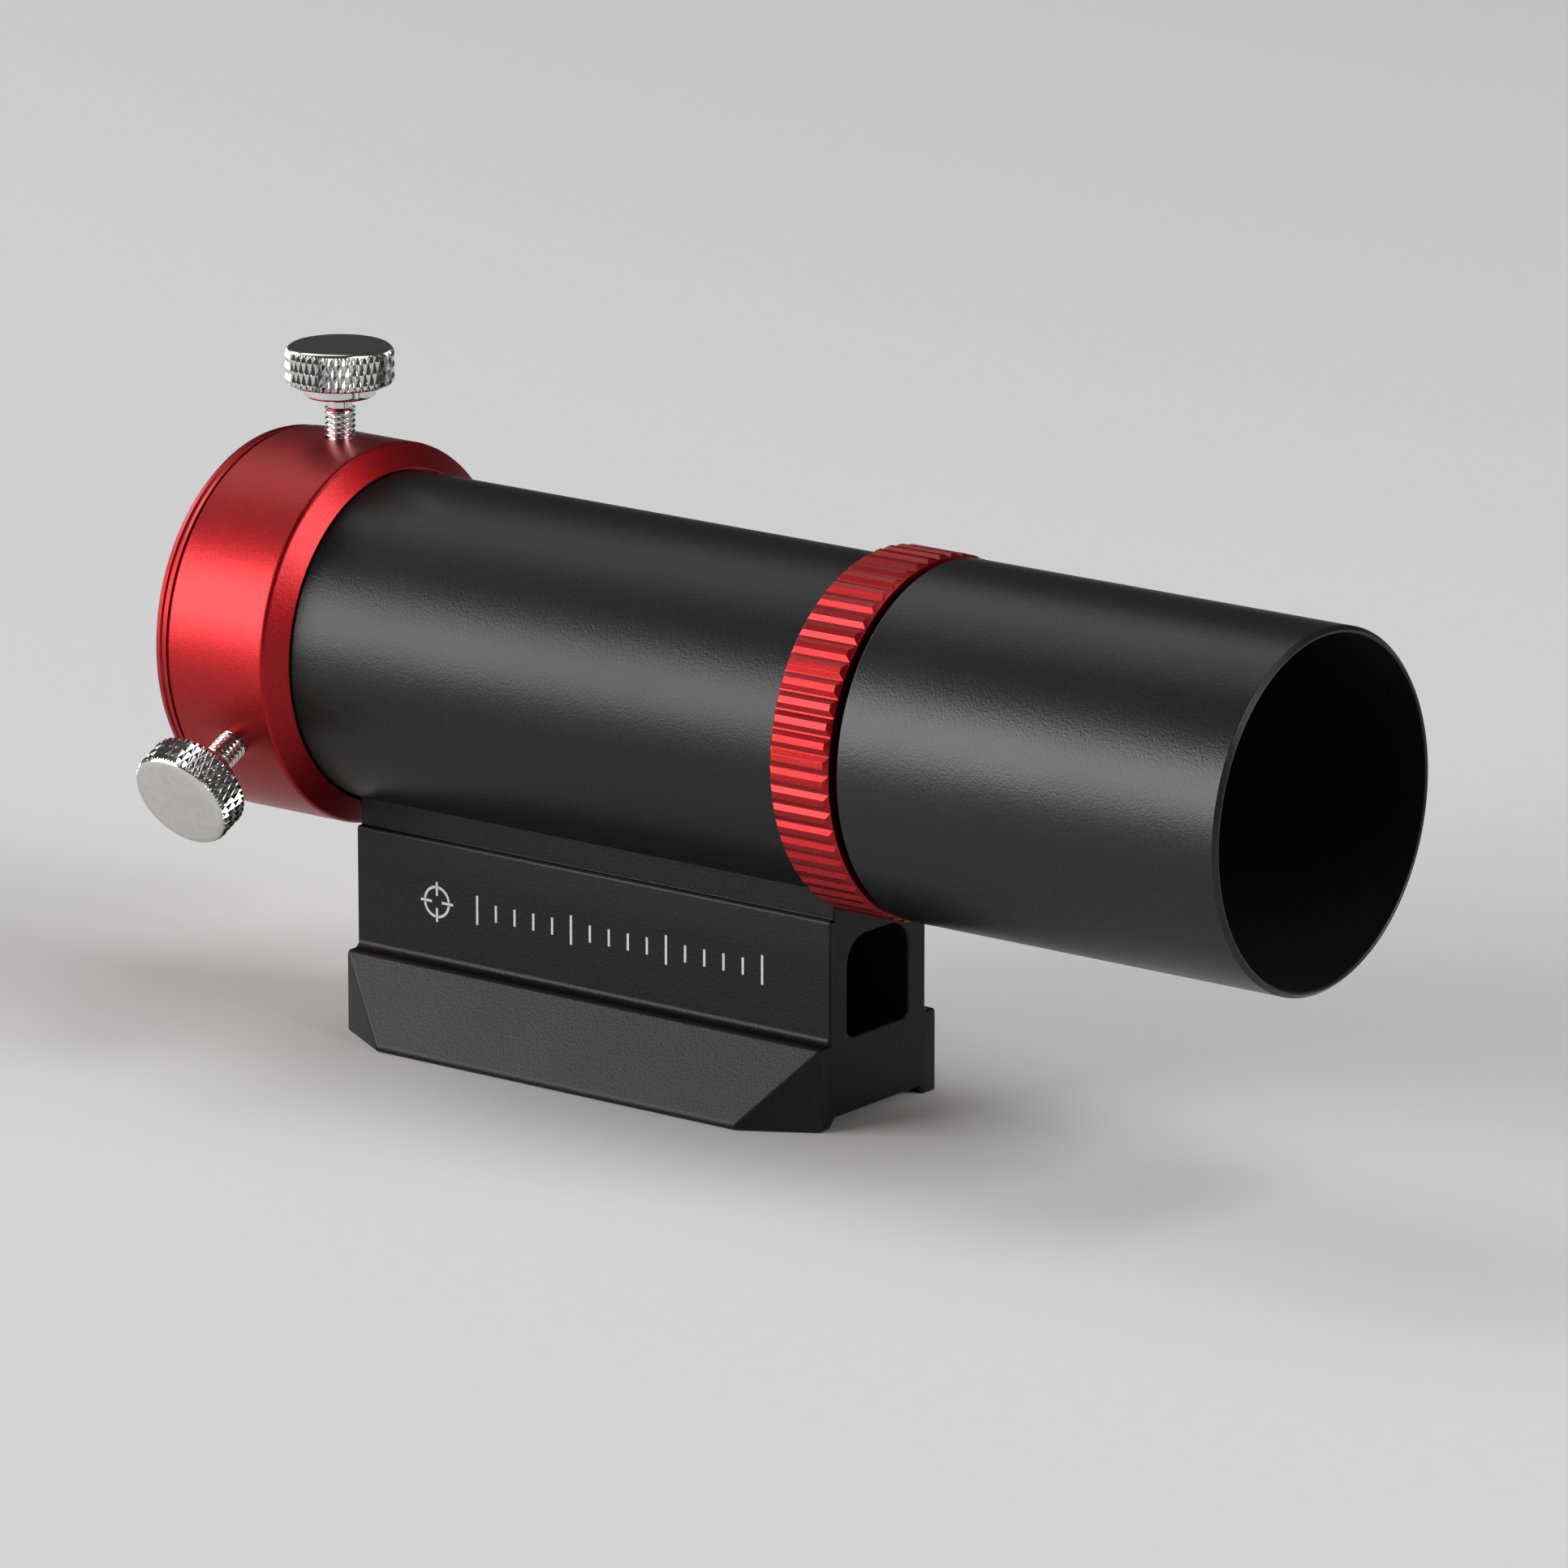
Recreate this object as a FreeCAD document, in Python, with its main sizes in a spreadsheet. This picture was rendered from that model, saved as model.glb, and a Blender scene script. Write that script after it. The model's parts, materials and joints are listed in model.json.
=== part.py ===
import FreeCAD, Part
import math
import os
import re
import Sketcher

# A finder scope: a small refractor on a dovetail foot, focused by screwing its front cell along a thread.
# +X runs along the optical axis towards the objective and +Z is up.
# The origin is the middle of the foot's underside.

# ---------------------------------------------------------------- driving dimensions, in millimetres
DIMENSIONS = {
    # optical axis and main tube
    "axis_height": 49.1,
    "tube_radius": 21.05,
    "tube_bore_radius": 18.4,
    "tube_shoulder_rear": -39.5,
    "tube_shoulder_front": 37.7,
    "adapter_thread_radius": 19.9,
    "adapter_thread_length": 3.9,
    "focus_thread_radius": 19.8,
    "focus_thread_end": 57.0,
    "thread_fit": 0.07,
    # mounting base
    "base_length": 75.0,
    "riser_half_width": 9.8,
    "lip_half_width": 9.0,
    "lip_bottom": 26.9,
    "panel_top": 26.5,
    "foot_top": 10.65,
    "foot_top_half_width": 11.9,
    "foot_bottom_half_width": 17.3,
    "foot_land_height": 0.8,
    "foot_corner_length": 9.05,
    "rail_half_gap": 9.8,
    "channel_half_width": 8.7,
    "channel_depth": 1.2,
    "window_half_width": 6.25,
    "window_bottom": 10.9,
    "window_top": 23.5,
    "window_top_radius": 3.6,
    "window_bottom_radius": 1.2,
    "riser_fillet": 1.0,
    "edge_rounding": 0.4,
    "screw_spacing": 44.0,
    "screw_hole_radius": 2.2,
    "access_hole_radius": 4.2,
    "spot_face_depth": 0.3,
    # base screws and washers
    "screw_radius": 2.0,
    "screw_head_radius": 3.5,
    "screw_head_height": 3.9,
    "screw_length": 7.4,
    "screw_socket_radius": 1.73,
    "screw_socket_depth": 2.0,
    "washer_radius": 4.0,
    "washer_thickness": 0.8,
    # rear adapter
    "adapter_rear": -58.3,
    "adapter_front": -38.6,
    "adapter_radius": 24.47,
    "adapter_rear_radius": 24.3,
    "adapter_groove_front": -55.7,
    "adapter_groove_width": 0.5,
    "adapter_groove_depth": 0.45,
    "adapter_cone_start": -40.55,
    "adapter_lip_radius": 21.3,
    "adapter_lip_depth": 0.85,
    "camera_bore_radius": 15.95,
    "adapter_edge": 0.35,
    # thumbscrews and their nylon tips
    "thumbscrew_x": -47.6,
    "thumbscrew_angle": 117.0,
    "thumbscrew_hole_radius": 2.0,
    "thumbscrew_shank_radius": 1.95,
    "thumbscrew_relief_radius": 1.75,
    "thumbscrew_relief_length": 1.9,
    "thumbscrew_end": 17.6,
    "collar_bottom": 29.85,
    "collar_radius": 4.65,
    "head_bottom": 31.5,
    "head_top": 36.45,
    "head_radius": 6.95,
    "head_rounding": 1.1,
    "tip_end": 16.1,
    "tip_radius": 1.5,
    "tip_stem_radius": 0.95,
    "tip_stem_length": 1.5,
    "tip_fit": 0.05,
    # focus lock ring
    "ring_rear": 37.85,
    "ring_front": 46.7,
    "ring_radius": 22.84,
    "ring_chamfer": 0.4,
    "ring_chamfer_front": 0.65,
    "ring_chamfer_rear": 0.42,
    "ring_notch_depth": 0.36,
    "ring_notch_floor": 0.2,
    "ring_notch_mouth": 1.73,
    "ring_teeth": 60,
    # objective cell, dew shield and lenses
    "shield_rear": 47.75,
    "shield_front": 103.7,
    "shield_radius": 22.5,
    "shield_bore_radius": 21.6,
    "shield_seat_radius": 21.3,
    "shield_seat_front": 70.7,
    "shield_edge": 0.5,
    "cell_rear": 48.0,
    "cell_front": 70.5,
    "cell_seat_rear": 58.2,
    "cell_seat_front": 59.4,
    "cell_seat_radius": 15.9,
    "cell_pocket_radius": 17.05,
    "lens_radius": 17.0,
    "flint_rear_vertex": 58.71,
    "flint_thickness": 2.5,
    "flint_rim_front": 64.39,
    "flint_rear_curve": 170.6,
    "flint_front_curve": 43.4,
    "air_gap": 0.3,
    "crown_thickness": 7.5,
    "crown_rear_curve": 43.1,
    "crown_front_curve": 72.4,
    "spacer_inner_radius": 16.35,
    "spacer_outer_radius": 16.95,
    "cushion_radius": 16.45,
    "cushion_section_radius": 0.45,
    "cushion_x": 67.62,
    "retainer_rear": 68.15,
    "retainer_front": 70.2,
    "retainer_bore_radius": 16.0,
    "spanner_slot_width": 1.4,
    "spanner_slot_depth": 0.8,
    # tube baffles
    "front_baffle_x": 20.0,
    "front_baffle_aperture": 13.0,
    "rear_baffle_x": -20.0,
    "rear_baffle_aperture": 10.0,
    "baffle_length": 4.0,
    "baffle_wall": 0.8,
}

doc = FreeCAD.newDocument("finder_scope")
sheet = doc.addObject("Spreadsheet::Sheet", "Dimensions")
for row, (alias, size) in enumerate(DIMENSIONS.items(), start=1):
    sheet.set(f"A{row}", alias)
    sheet.set(f"B{row}", str(size))
    sheet.setAlias(f"B{row}", alias)
doc.recompute()

subparts = []


# ---------------------------------------------------------------- helpers
def from_sheet(text):
    """Turn the aliases in an expression into references to the spreadsheet."""
    return re.sub(r"[a-z]+(_[a-z]+)+", lambda word: "Dimensions." + word.group(), text)


def size_of(text):
    """Work out an expression of aliases now, for a starting value."""
    return float(sheet.evalExpression(text))


def bind(thing, **sizes):
    """Drive each property of an object from an expression of aliases."""
    for name, text in sizes.items():
        thing.setExpression(name.replace("__", "."), from_sheet(text))


def finish_subpart(thing, label, on_axis=True):
    """Name a finished sub-part and put it on the optical axis, or leave it at the foot."""
    thing.Label = label
    if on_axis:
        thing.setExpression("Placement.Base.z", "Dimensions.axis_height")
    subparts.append(thing)
    return thing


def new_body(name):
    return doc.addObject("PartDesign::Body", name + "_body")


def origin_feature(body, role):
    """One of the body's own origin planes or axes, such as XZ_Plane or X_Axis."""
    return next(item for item in body.Origin.OriginFeatures if item.Role == role)


def new_sketch(body, name, plane):
    sketch = body.newObject("Sketcher::SketchObject", name)
    sketch.AttachmentSupport = [(origin_feature(body, plane), "")]
    sketch.MapMode = "FlatFace"
    return sketch


def pin_point(sketch, geometry, point, across, up):
    """Hold a sketch point at two driven distances from the sketch's origin."""
    for kind, text in (("DistanceX", across), ("DistanceY", up)):
        index = sketch.addConstraint(Sketcher.Constraint(kind, -1, 1, geometry, point, size_of(text)))
        sketch.setExpression(f"Constraints[{index}]", from_sheet(text))


def draw_outline(sketch, outline):
    """A closed outline of straight lines through points given as pairs of expressions."""
    corners = [FreeCAD.Vector(size_of(across), size_of(up), 0) for across, up in outline]
    first = sketch.GeometryCount
    count = len(corners)
    for index in range(count):
        sketch.addGeometry(Part.LineSegment(corners[index], corners[(index + 1) % count]), False)
    for index in range(count):
        following = first + (index + 1) % count
        sketch.addConstraint(Sketcher.Constraint("Coincident", first + index, 2, following, 1))
    for index, (across, up) in enumerate(outline):
        pin_point(sketch, first + index, 1, across, up)


def draw_circle(sketch, across, up, radius):
    centre = FreeCAD.Vector(size_of(across), size_of(up), 0)
    circle = Part.Circle(centre, FreeCAD.Vector(0, 0, 1), size_of(radius))
    geometry = sketch.addGeometry(circle, False)
    pin_point(sketch, geometry, 3, across, up)
    index = sketch.addConstraint(Sketcher.Constraint("Radius", geometry, size_of(radius)))
    sketch.setExpression(f"Constraints[{index}]", from_sheet(radius))


def turned_body(name, outline, axis="H_Axis"):
    """A body turned from an outline of (along, radius) points, or (radius, along) about V_Axis."""
    body = new_body(name)
    sketch = new_sketch(body, name + "_profile", "XZ_Plane")
    draw_outline(sketch, outline)
    turning = body.newObject("PartDesign::Revolution", name + "_turning")
    turning.Profile = sketch
    turning.ReferenceAxis = (sketch, [axis])
    turning.Angle = 360
    doc.recompute()
    return body


def cut_pocket(body, name, plane, draw, length=None, reverse=False, both_ways=False):
    """Cut a sketch drawn by draw(sketch) into the body, and make sure that it removed material."""
    before = body.Shape.Volume
    sketch = new_sketch(body, name + "_sketch", plane)
    draw(sketch)
    pocket = body.newObject("PartDesign::Pocket", name)
    pocket.Profile = sketch
    pocket.Reversed = reverse
    if both_ways:
        pocket.SideType = "Symmetric"
    if length is None:
        pocket.Type = "ThroughAll"
    else:
        pocket.setExpression("Length", from_sheet(length))
    doc.recompute()
    if body.Shape.Volume >= before:
        raise RuntimeError(f"{name} removed nothing")
    return pocket


def pattern_round(body, name, feature, count, angle, axis_role, reverse=False):
    """Repeat a feature about one of the body's axes."""
    pattern = body.newObject("PartDesign::PolarPattern", name)
    pattern.Originals = [feature]
    pattern.Axis = (origin_feature(body, axis_role), [""])
    pattern.Angle = angle
    pattern.Occurrences = count
    pattern.Reversed = reverse
    body.Tip = pattern
    doc.recompute()
    return pattern


def edges_along_x(shape, places):
    """The names of the long edges along X that lie at the given (y, z) places."""
    names = []
    for index, edge in enumerate(shape.Edges, start=1):
        start, end = edge.Vertexes[0].Point, edge.Vertexes[-1].Point
        if abs(start.x - end.x) < 20:
            continue
        if any(math.hypot(start.y - y, start.z - z) < 0.05 for y, z in places):
            names.append(f"Edge{index}")
    return names


def round_edges(body, name, places, radius):
    """Round the long edges at the given places on both sides of the middle plane."""
    base = body.Tip
    both_sides = [(side * size_of(y), size_of(z)) for y, z in places for side in (1, -1)]
    names = edges_along_x(base.Shape, both_sides)
    if len(names) != len(both_sides):
        raise RuntimeError(f"{name} found {len(names)} edges of {len(both_sides)}")
    fillet = body.newObject("PartDesign::Fillet", name)
    fillet.Base = (base, names)
    fillet.setExpression("Radius", from_sheet(radius))
    doc.recompute()
    return fillet


def primitive(kind, name, along_x=None, **sizes):
    """A Part primitive with driven sizes; along_x turns its axis to X and moves it there."""
    solid = doc.addObject("Part::" + kind, name)
    bind(solid, **sizes)
    if along_x is not None:
        solid.Placement = FreeCAD.Placement(
            FreeCAD.Vector(), FreeCAD.Rotation(FreeCAD.Vector(0, 1, 0), 90)
        )
        solid.setExpression("Placement.Base.x", from_sheet(along_x))
    return solid


def boolean(kind, name, first, second):
    result = doc.addObject("Part::" + kind, name)
    if kind in ("Cut", "Fuse", "Common"):
        result.Base = first
        result.Tool = second
    else:
        result.Shapes = [first, *second]
    doc.recompute()
    return result


# ---------------------------------------------------------------- main tube
def make_main_tube():
    body = turned_body("main_tube", [
        ("tube_shoulder_rear - adapter_thread_length", "tube_bore_radius"),
        ("tube_shoulder_rear - adapter_thread_length", "adapter_thread_radius"),
        ("tube_shoulder_rear", "adapter_thread_radius"),
        ("tube_shoulder_rear", "tube_radius"),
        ("tube_shoulder_front", "tube_radius"),
        ("tube_shoulder_front", "focus_thread_radius"),
        ("focus_thread_end", "focus_thread_radius"),
        ("focus_thread_end", "tube_bore_radius"),
    ])

    def tapped_holes(sketch):
        draw_circle(sketch, "screw_spacing / 2", "0", "screw_radius")
        draw_circle(sketch, "-screw_spacing / 2", "0", "screw_radius")

    cut_pocket(body, "tapped_holes", "XY_Plane", tapped_holes)
    finish_subpart(body, "main_tube")


# ---------------------------------------------------------------- mounting base
def mirrored_outline(half):
    """A closed outline from the points of its right half, listed from bottom to top."""
    left = [("-(" + across + ")", up) for across, up in reversed(half)]
    return list(half) + left


def make_mounting_base():
    body = new_body("mounting_base")
    sketch = new_sketch(body, "base_section", "YZ_Plane")
    draw_outline(sketch, mirrored_outline([
        ("channel_half_width", "channel_depth"),
        ("rail_half_gap", "0"),
        ("foot_bottom_half_width", "0"),
        ("foot_bottom_half_width", "foot_land_height"),
        ("foot_top_half_width", "foot_top"),
        ("riser_half_width", "foot_top"),
        ("riser_half_width", "panel_top"),
        ("lip_half_width", "panel_top"),
        ("lip_half_width", "axis_height - sqrt(tube_radius ^ 2 - lip_half_width ^ 2)"),
    ]))
    block = body.newObject("PartDesign::Pad", "base_block")
    block.Profile = sketch
    block.SideType = "Symmetric"
    block.setExpression("Length", "Dimensions.base_length")
    doc.recompute()

    round_edges(body, "riser_fillets", [("riser_half_width", "foot_top")], "riser_fillet")
    round_edges(body, "panel_rounding", [("riser_half_width", "panel_top")], "edge_rounding")

    cut_pocket(body, "saddle", "YZ_Plane", lambda sketch: draw_circle(
        sketch, "0", "axis_height", "tube_radius"), both_ways=True)

    def window(sketch):
        draw_outline(sketch, mirrored_outline([
            ("window_half_width", "window_bottom"),
            ("window_half_width", "window_top"),
        ]))

    cut_pocket(body, "window", "YZ_Plane", window, both_ways=True)
    round_edges(body, "window_top_corners", [("window_half_width", "window_top")], "window_top_radius")
    round_edges(
        body, "window_bottom_corners", [("window_half_width", "window_bottom")], "window_bottom_radius"
    )

    def foot_corners(sketch):
        for end in ("", "-"):
            for side in ("", "-"):
                draw_outline(sketch, [
                    (f"{end}(base_length / 2)", f"{side}(foot_top_half_width)"),
                    (f"{end}(base_length / 2)", f"{side}(foot_bottom_half_width + 0.5)"),
                    (f"{end}(base_length / 2 - foot_corner_length)", f"{side}(foot_bottom_half_width + 0.5)"),
                    (f"{end}(base_length / 2 - foot_corner_length)", f"{side}(foot_bottom_half_width)"),
                ])

    cut_pocket(body, "foot_corners", "XY_Plane", foot_corners, reverse=True)

    def access_holes(sketch):
        draw_circle(sketch, "screw_spacing / 2", "0", "access_hole_radius")
        draw_circle(sketch, "-screw_spacing / 2", "0", "access_hole_radius")

    # The same cutter reaches through the foot and makes a flat seat for each washer above the window.
    cut_pocket(
        body, "access_holes", "XY_Plane", access_holes, length="window_top + spot_face_depth", reverse=True
    )

    def screw_holes(sketch):
        draw_circle(sketch, "screw_spacing / 2", "0", "screw_hole_radius")
        draw_circle(sketch, "-screw_spacing / 2", "0", "screw_hole_radius")

    cut_pocket(body, "screw_holes", "XY_Plane", screw_holes, reverse=True)
    finish_subpart(body, "mounting_base", on_axis=False)


def make_base_fasteners():
    """Two socket screws and their washers, which hold the tube down on the base from below."""
    screws = []
    washers = []
    for end, sign in (("front", ""), ("rear", "-")):
        place = f"{sign}screw_spacing / 2"
        under_head = "window_top + spot_face_depth - washer_thickness"
        shank = primitive("Cylinder", f"screw_shank_{end}", Radius="screw_radius", Height="screw_length")
        head = primitive(
            "Cylinder", f"screw_head_{end}", Radius="screw_head_radius", Height="screw_head_height"
        )
        socket = primitive(
            "Prism", f"screw_socket_{end}",
            Circumradius="screw_socket_radius", Height="screw_socket_depth",
        )
        socket.Polygon = 6
        bind(shank, Placement__Base__x=place, Placement__Base__z=under_head)
        bind(head, Placement__Base__x=place, Placement__Base__z=under_head + " - screw_head_height")
        bind(socket, Placement__Base__x=place, Placement__Base__z=under_head + " - screw_head_height")
        blank = boolean("Fuse", f"screw_blank_{end}", head, shank)
        screws.append(boolean("Cut", f"screw_{end}", blank, socket))

        disc = primitive(
            "Cylinder", f"washer_disc_{end}", Radius="washer_radius", Height="washer_thickness"
        )
        hole = primitive(
            "Cylinder", f"washer_hole_{end}", Radius="screw_hole_radius", Height="washer_thickness"
        )
        bind(disc, Placement__Base__x=place, Placement__Base__z=under_head)
        bind(hole, Placement__Base__x=place, Placement__Base__z=under_head)
        washers.append(boolean("Cut", f"washer_{end}", disc, hole))

    for label, pieces in (("base_screws", screws), ("base_screw_washers", washers)):
        group = doc.addObject("Part::Compound", label + "_group")
        group.Links = pieces
        finish_subpart(group, label, on_axis=False)


# ---------------------------------------------------------------- rear adapter
def make_rear_adapter():
    body = turned_body("rear_adapter", [
        ("adapter_rear", "camera_bore_radius + adapter_edge"),
        ("adapter_rear", "adapter_rear_radius - adapter_edge"),
        ("adapter_rear + adapter_edge", "adapter_rear_radius"),
        ("adapter_groove_front - adapter_groove_width", "adapter_rear_radius"),
        ("adapter_groove_front - adapter_groove_width", "adapter_radius - adapter_groove_depth"),
        ("adapter_groove_front", "adapter_radius - adapter_groove_depth"),
        ("adapter_groove_front", "adapter_radius"),
        ("adapter_cone_start", "adapter_radius"),
        ("adapter_front", "adapter_lip_radius + 0.1"),
        ("adapter_front", "adapter_lip_radius"),
        ("adapter_front - adapter_lip_depth", "adapter_lip_radius"),
        ("adapter_front - adapter_lip_depth", "adapter_thread_radius"),
        ("tube_shoulder_rear - adapter_thread_length", "adapter_thread_radius"),
        ("tube_shoulder_rear - adapter_thread_length", "camera_bore_radius"),
        ("adapter_rear + adapter_edge", "camera_bore_radius"),
    ])
    hole = cut_pocket(body, "thumbscrew_hole", "XY_Plane", lambda sketch: draw_circle(
        sketch, "thumbscrew_x", "0", "thumbscrew_hole_radius"), length="adapter_radius + 1", reverse=True)
    for side, reverse in (("left", False), ("right", True)):
        pattern = pattern_round(body, f"{side}_thumbscrew_hole", hole, 2, 90, "X_Axis", reverse)
        pattern.setExpression("Angle", "Dimensions.thumbscrew_angle")
    finish_subpart(body, "rear_adapter")


# ---------------------------------------------------------------- thumbscrews
def place_radially(thing, label, turn):
    """Stand a piece made along Z on the optical axis and turn it about that axis."""
    thing.Placement = FreeCAD.Placement(FreeCAD.Vector(), FreeCAD.Rotation(FreeCAD.Vector(1, 0, 0), 1))
    bind(thing, Placement__Base__x="thumbscrew_x", Placement__Rotation__Angle=turn)
    finish_subpart(thing, label)


def make_thumbscrew(side, turn):
    body = turned_body(f"thumbscrew_{side}", [
        ("tip_stem_radius + tip_fit", "thumbscrew_end"),
        ("thumbscrew_shank_radius - 0.2", "thumbscrew_end"),
        ("thumbscrew_shank_radius", "thumbscrew_end + 0.2"),
        ("thumbscrew_shank_radius", "collar_bottom - thumbscrew_relief_length"),
        ("thumbscrew_relief_radius", "collar_bottom - thumbscrew_relief_length + 0.2"),
        ("thumbscrew_relief_radius", "collar_bottom"),
        ("collar_radius - 0.5", "collar_bottom"),
        ("collar_radius", "collar_bottom + 0.5"),
        ("collar_radius", "head_bottom"),
        ("head_radius - 0.5", "head_bottom"),
        ("head_radius", "head_bottom + 0.5"),
        ("head_radius", "head_top - head_rounding"),
        ("head_radius - 0.35", "head_top - 0.35"),
        ("head_radius - head_rounding", "head_top"),
        ("0", "head_top"),
        ("0", "thumbscrew_end + tip_stem_length + tip_fit"),
        ("tip_stem_radius + tip_fit", "thumbscrew_end + tip_stem_length + tip_fit"),
    ], axis="V_Axis")
    place_radially(body, f"thumbscrew_{side}", turn)


def make_thumbscrew_tip(side, turn):
    body = turned_body(f"thumbscrew_tip_{side}", [
        ("0", "tip_end"),
        ("tip_radius - 0.3", "tip_end"),
        ("tip_radius", "tip_end + 0.3"),
        ("tip_radius", "thumbscrew_end - tip_fit"),
        ("tip_stem_radius", "thumbscrew_end - tip_fit"),
        ("tip_stem_radius", "thumbscrew_end + tip_stem_length"),
        ("0", "thumbscrew_end + tip_stem_length"),
    ], axis="V_Axis")
    place_radially(body, f"thumbscrew_tip_{side}", turn)


# ---------------------------------------------------------------- focus lock ring
def make_focus_lock_ring():
    body = turned_body("focus_lock_ring", [
        ("ring_rear", "focus_thread_radius + thread_fit"),
        ("ring_rear", "ring_radius - ring_chamfer"),
        ("ring_rear + ring_chamfer_rear", "ring_radius"),
        ("ring_front - ring_chamfer_front", "ring_radius"),
        ("ring_front", "ring_radius - ring_chamfer"),
        ("ring_front", "focus_thread_radius + thread_fit"),
    ])

    def notch(sketch):
        draw_outline(sketch, [
            ("-ring_notch_floor / 2", "ring_radius - ring_notch_depth"),
            ("ring_notch_floor / 2", "ring_radius - ring_notch_depth"),
            ("ring_notch_mouth / 2", "ring_radius + 0.05"),
            ("-ring_notch_mouth / 2", "ring_radius + 0.05"),
        ])

    first_notch = cut_pocket(body, "first_notch", "YZ_Plane", notch, reverse=True)
    knurl = pattern_round(body, "knurl", first_notch, 2, 360, "X_Axis")
    knurl.setExpression("Occurrences", "Dimensions.ring_teeth")
    doc.recompute()
    finish_subpart(body, "focus_lock_ring")


# ---------------------------------------------------------------- objective cell and dew shield
def make_objective_cell():
    body = turned_body("objective_cell", [
        ("cell_rear", "focus_thread_radius + thread_fit"),
        ("cell_rear", "shield_seat_radius"),
        ("cell_front - 0.5", "shield_seat_radius"),
        ("cell_front", "shield_seat_radius - 0.5"),
        ("cell_front", "cell_pocket_radius"),
        ("cell_seat_front", "cell_pocket_radius"),
        ("cell_seat_front", "cell_seat_radius"),
        ("cell_seat_rear", "cell_seat_radius"),
        ("cell_seat_rear", "focus_thread_radius + thread_fit"),
    ])
    finish_subpart(body, "objective_cell")


def make_dew_shield():
    body = turned_body("dew_shield", [
        ("shield_rear", "shield_seat_radius"),
        ("shield_rear", "shield_radius - shield_edge"),
        ("shield_rear + shield_edge", "shield_radius"),
        ("shield_front - shield_edge", "shield_radius"),
        ("shield_front", "shield_radius - shield_edge"),
        ("shield_front", "shield_bore_radius + 0.1"),
        ("shield_front - 0.1", "shield_bore_radius"),
        ("shield_seat_front", "shield_bore_radius"),
        ("shield_seat_front", "shield_seat_radius"),
    ])
    finish_subpart(body, "dew_shield")


def make_lens_retaining_ring():
    body = turned_body("lens_retaining_ring", [
        ("retainer_rear", "retainer_bore_radius"),
        ("retainer_rear", "cell_pocket_radius"),
        ("retainer_front", "cell_pocket_radius"),
        ("retainer_front", "retainer_bore_radius + 0.2"),
        ("retainer_front - 0.2", "retainer_bore_radius"),
    ])

    # The spanner slots cross the front face from side to side.
    def spanner_slots(sketch):
        draw_outline(sketch, [
            ("retainer_front - spanner_slot_depth", "-spanner_slot_width / 2"),
            ("retainer_front + 0.1", "-spanner_slot_width / 2"),
            ("retainer_front + 0.1", "spanner_slot_width / 2"),
            ("retainer_front - spanner_slot_depth", "spanner_slot_width / 2"),
        ])

    cut_pocket(body, "spanner_slots", "XZ_Plane", spanner_slots, both_ways=True)
    finish_subpart(body, "lens_retaining_ring")


def make_cushion_ring():
    ring = primitive(
        "Torus", "lens_cushion_torus", along_x="cushion_x",
        Radius1="cushion_radius", Radius2="cushion_section_radius",
    )
    finish_subpart(ring, "lens_cushion_ring")


# ---------------------------------------------------------------- lenses and spacer
def sphere_through(name, vertex, radius, towards_front):
    """A ball whose surface crosses the axis at vertex, with its centre in front of it or behind it."""
    ball = primitive("Sphere", name, Radius=radius)
    sign = "+" if towards_front else "-"
    ball.setExpression("Placement.Base.x", from_sheet(f"{vertex} {sign} {radius}"))
    return ball


def make_crown_lens():
    rear_vertex = "flint_rear_vertex + flint_thickness + air_gap"
    disc = primitive(
        "Cylinder", "crown_disc", along_x=rear_vertex, Radius="lens_radius", Height="crown_thickness"
    )
    rear = sphere_through("crown_rear_ball", rear_vertex, "crown_rear_curve", True)
    front = sphere_through(
        "crown_front_ball", rear_vertex + " + crown_thickness", "crown_front_curve", False
    )
    finish_subpart(boolean("MultiCommon", "crown_lens_solid", disc, [rear, front]), "crown_lens")


def make_flint_lens():
    disc = primitive(
        "Cylinder", "flint_disc", along_x="flint_rear_vertex",
        Radius="lens_radius", Height="flint_rim_front - flint_rear_vertex",
    )
    rear = sphere_through("flint_rear_ball", "flint_rear_vertex", "flint_rear_curve", True)
    blank = boolean("Common", "flint_blank", disc, rear)
    hollow = sphere_through(
        "flint_front_ball", "flint_rear_vertex + flint_thickness", "flint_front_curve", True
    )
    finish_subpart(boolean("Cut", "flint_lens_solid", blank, hollow), "flint_lens")


def make_lens_spacer_ring():
    body = turned_body("lens_spacer_ring", [
        ("flint_rim_front", "spacer_inner_radius"),
        ("flint_rim_front", "spacer_outer_radius"),
        ("flint_rim_front + air_gap", "spacer_outer_radius"),
        ("flint_rim_front + air_gap", "spacer_inner_radius"),
    ])
    finish_subpart(body, "lens_spacer_ring")


# ---------------------------------------------------------------- baffles in the tube
def make_baffle(label):
    place = label + "_x"
    aperture = label + "_aperture"
    body = turned_body(label, [
        (place, aperture),
        (f"{place} - baffle_wall", f"{aperture} + baffle_wall"),
        (f"{place} - baffle_wall", "tube_bore_radius - baffle_wall"),
        (f"{place} - baffle_length", "tube_bore_radius - baffle_wall"),
        (f"{place} - baffle_length", "tube_bore_radius"),
        (place, "tube_bore_radius"),
    ])
    finish_subpart(body, label)


# ---------------------------------------------------------------- build, check and write
make_main_tube()
make_mounting_base()
make_base_fasteners()
make_rear_adapter()
for side, turn in (("top", "0"), ("left", "thumbscrew_angle"), ("right", "-thumbscrew_angle")):
    make_thumbscrew(side, turn)
    make_thumbscrew_tip(side, turn)
make_focus_lock_ring()
make_objective_cell()
make_dew_shield()
make_lens_retaining_ring()
make_cushion_ring()
make_crown_lens()
make_flint_lens()
make_lens_spacer_ring()
make_baffle("front_baffle")
make_baffle("rear_baffle")
doc.recompute()

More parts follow.
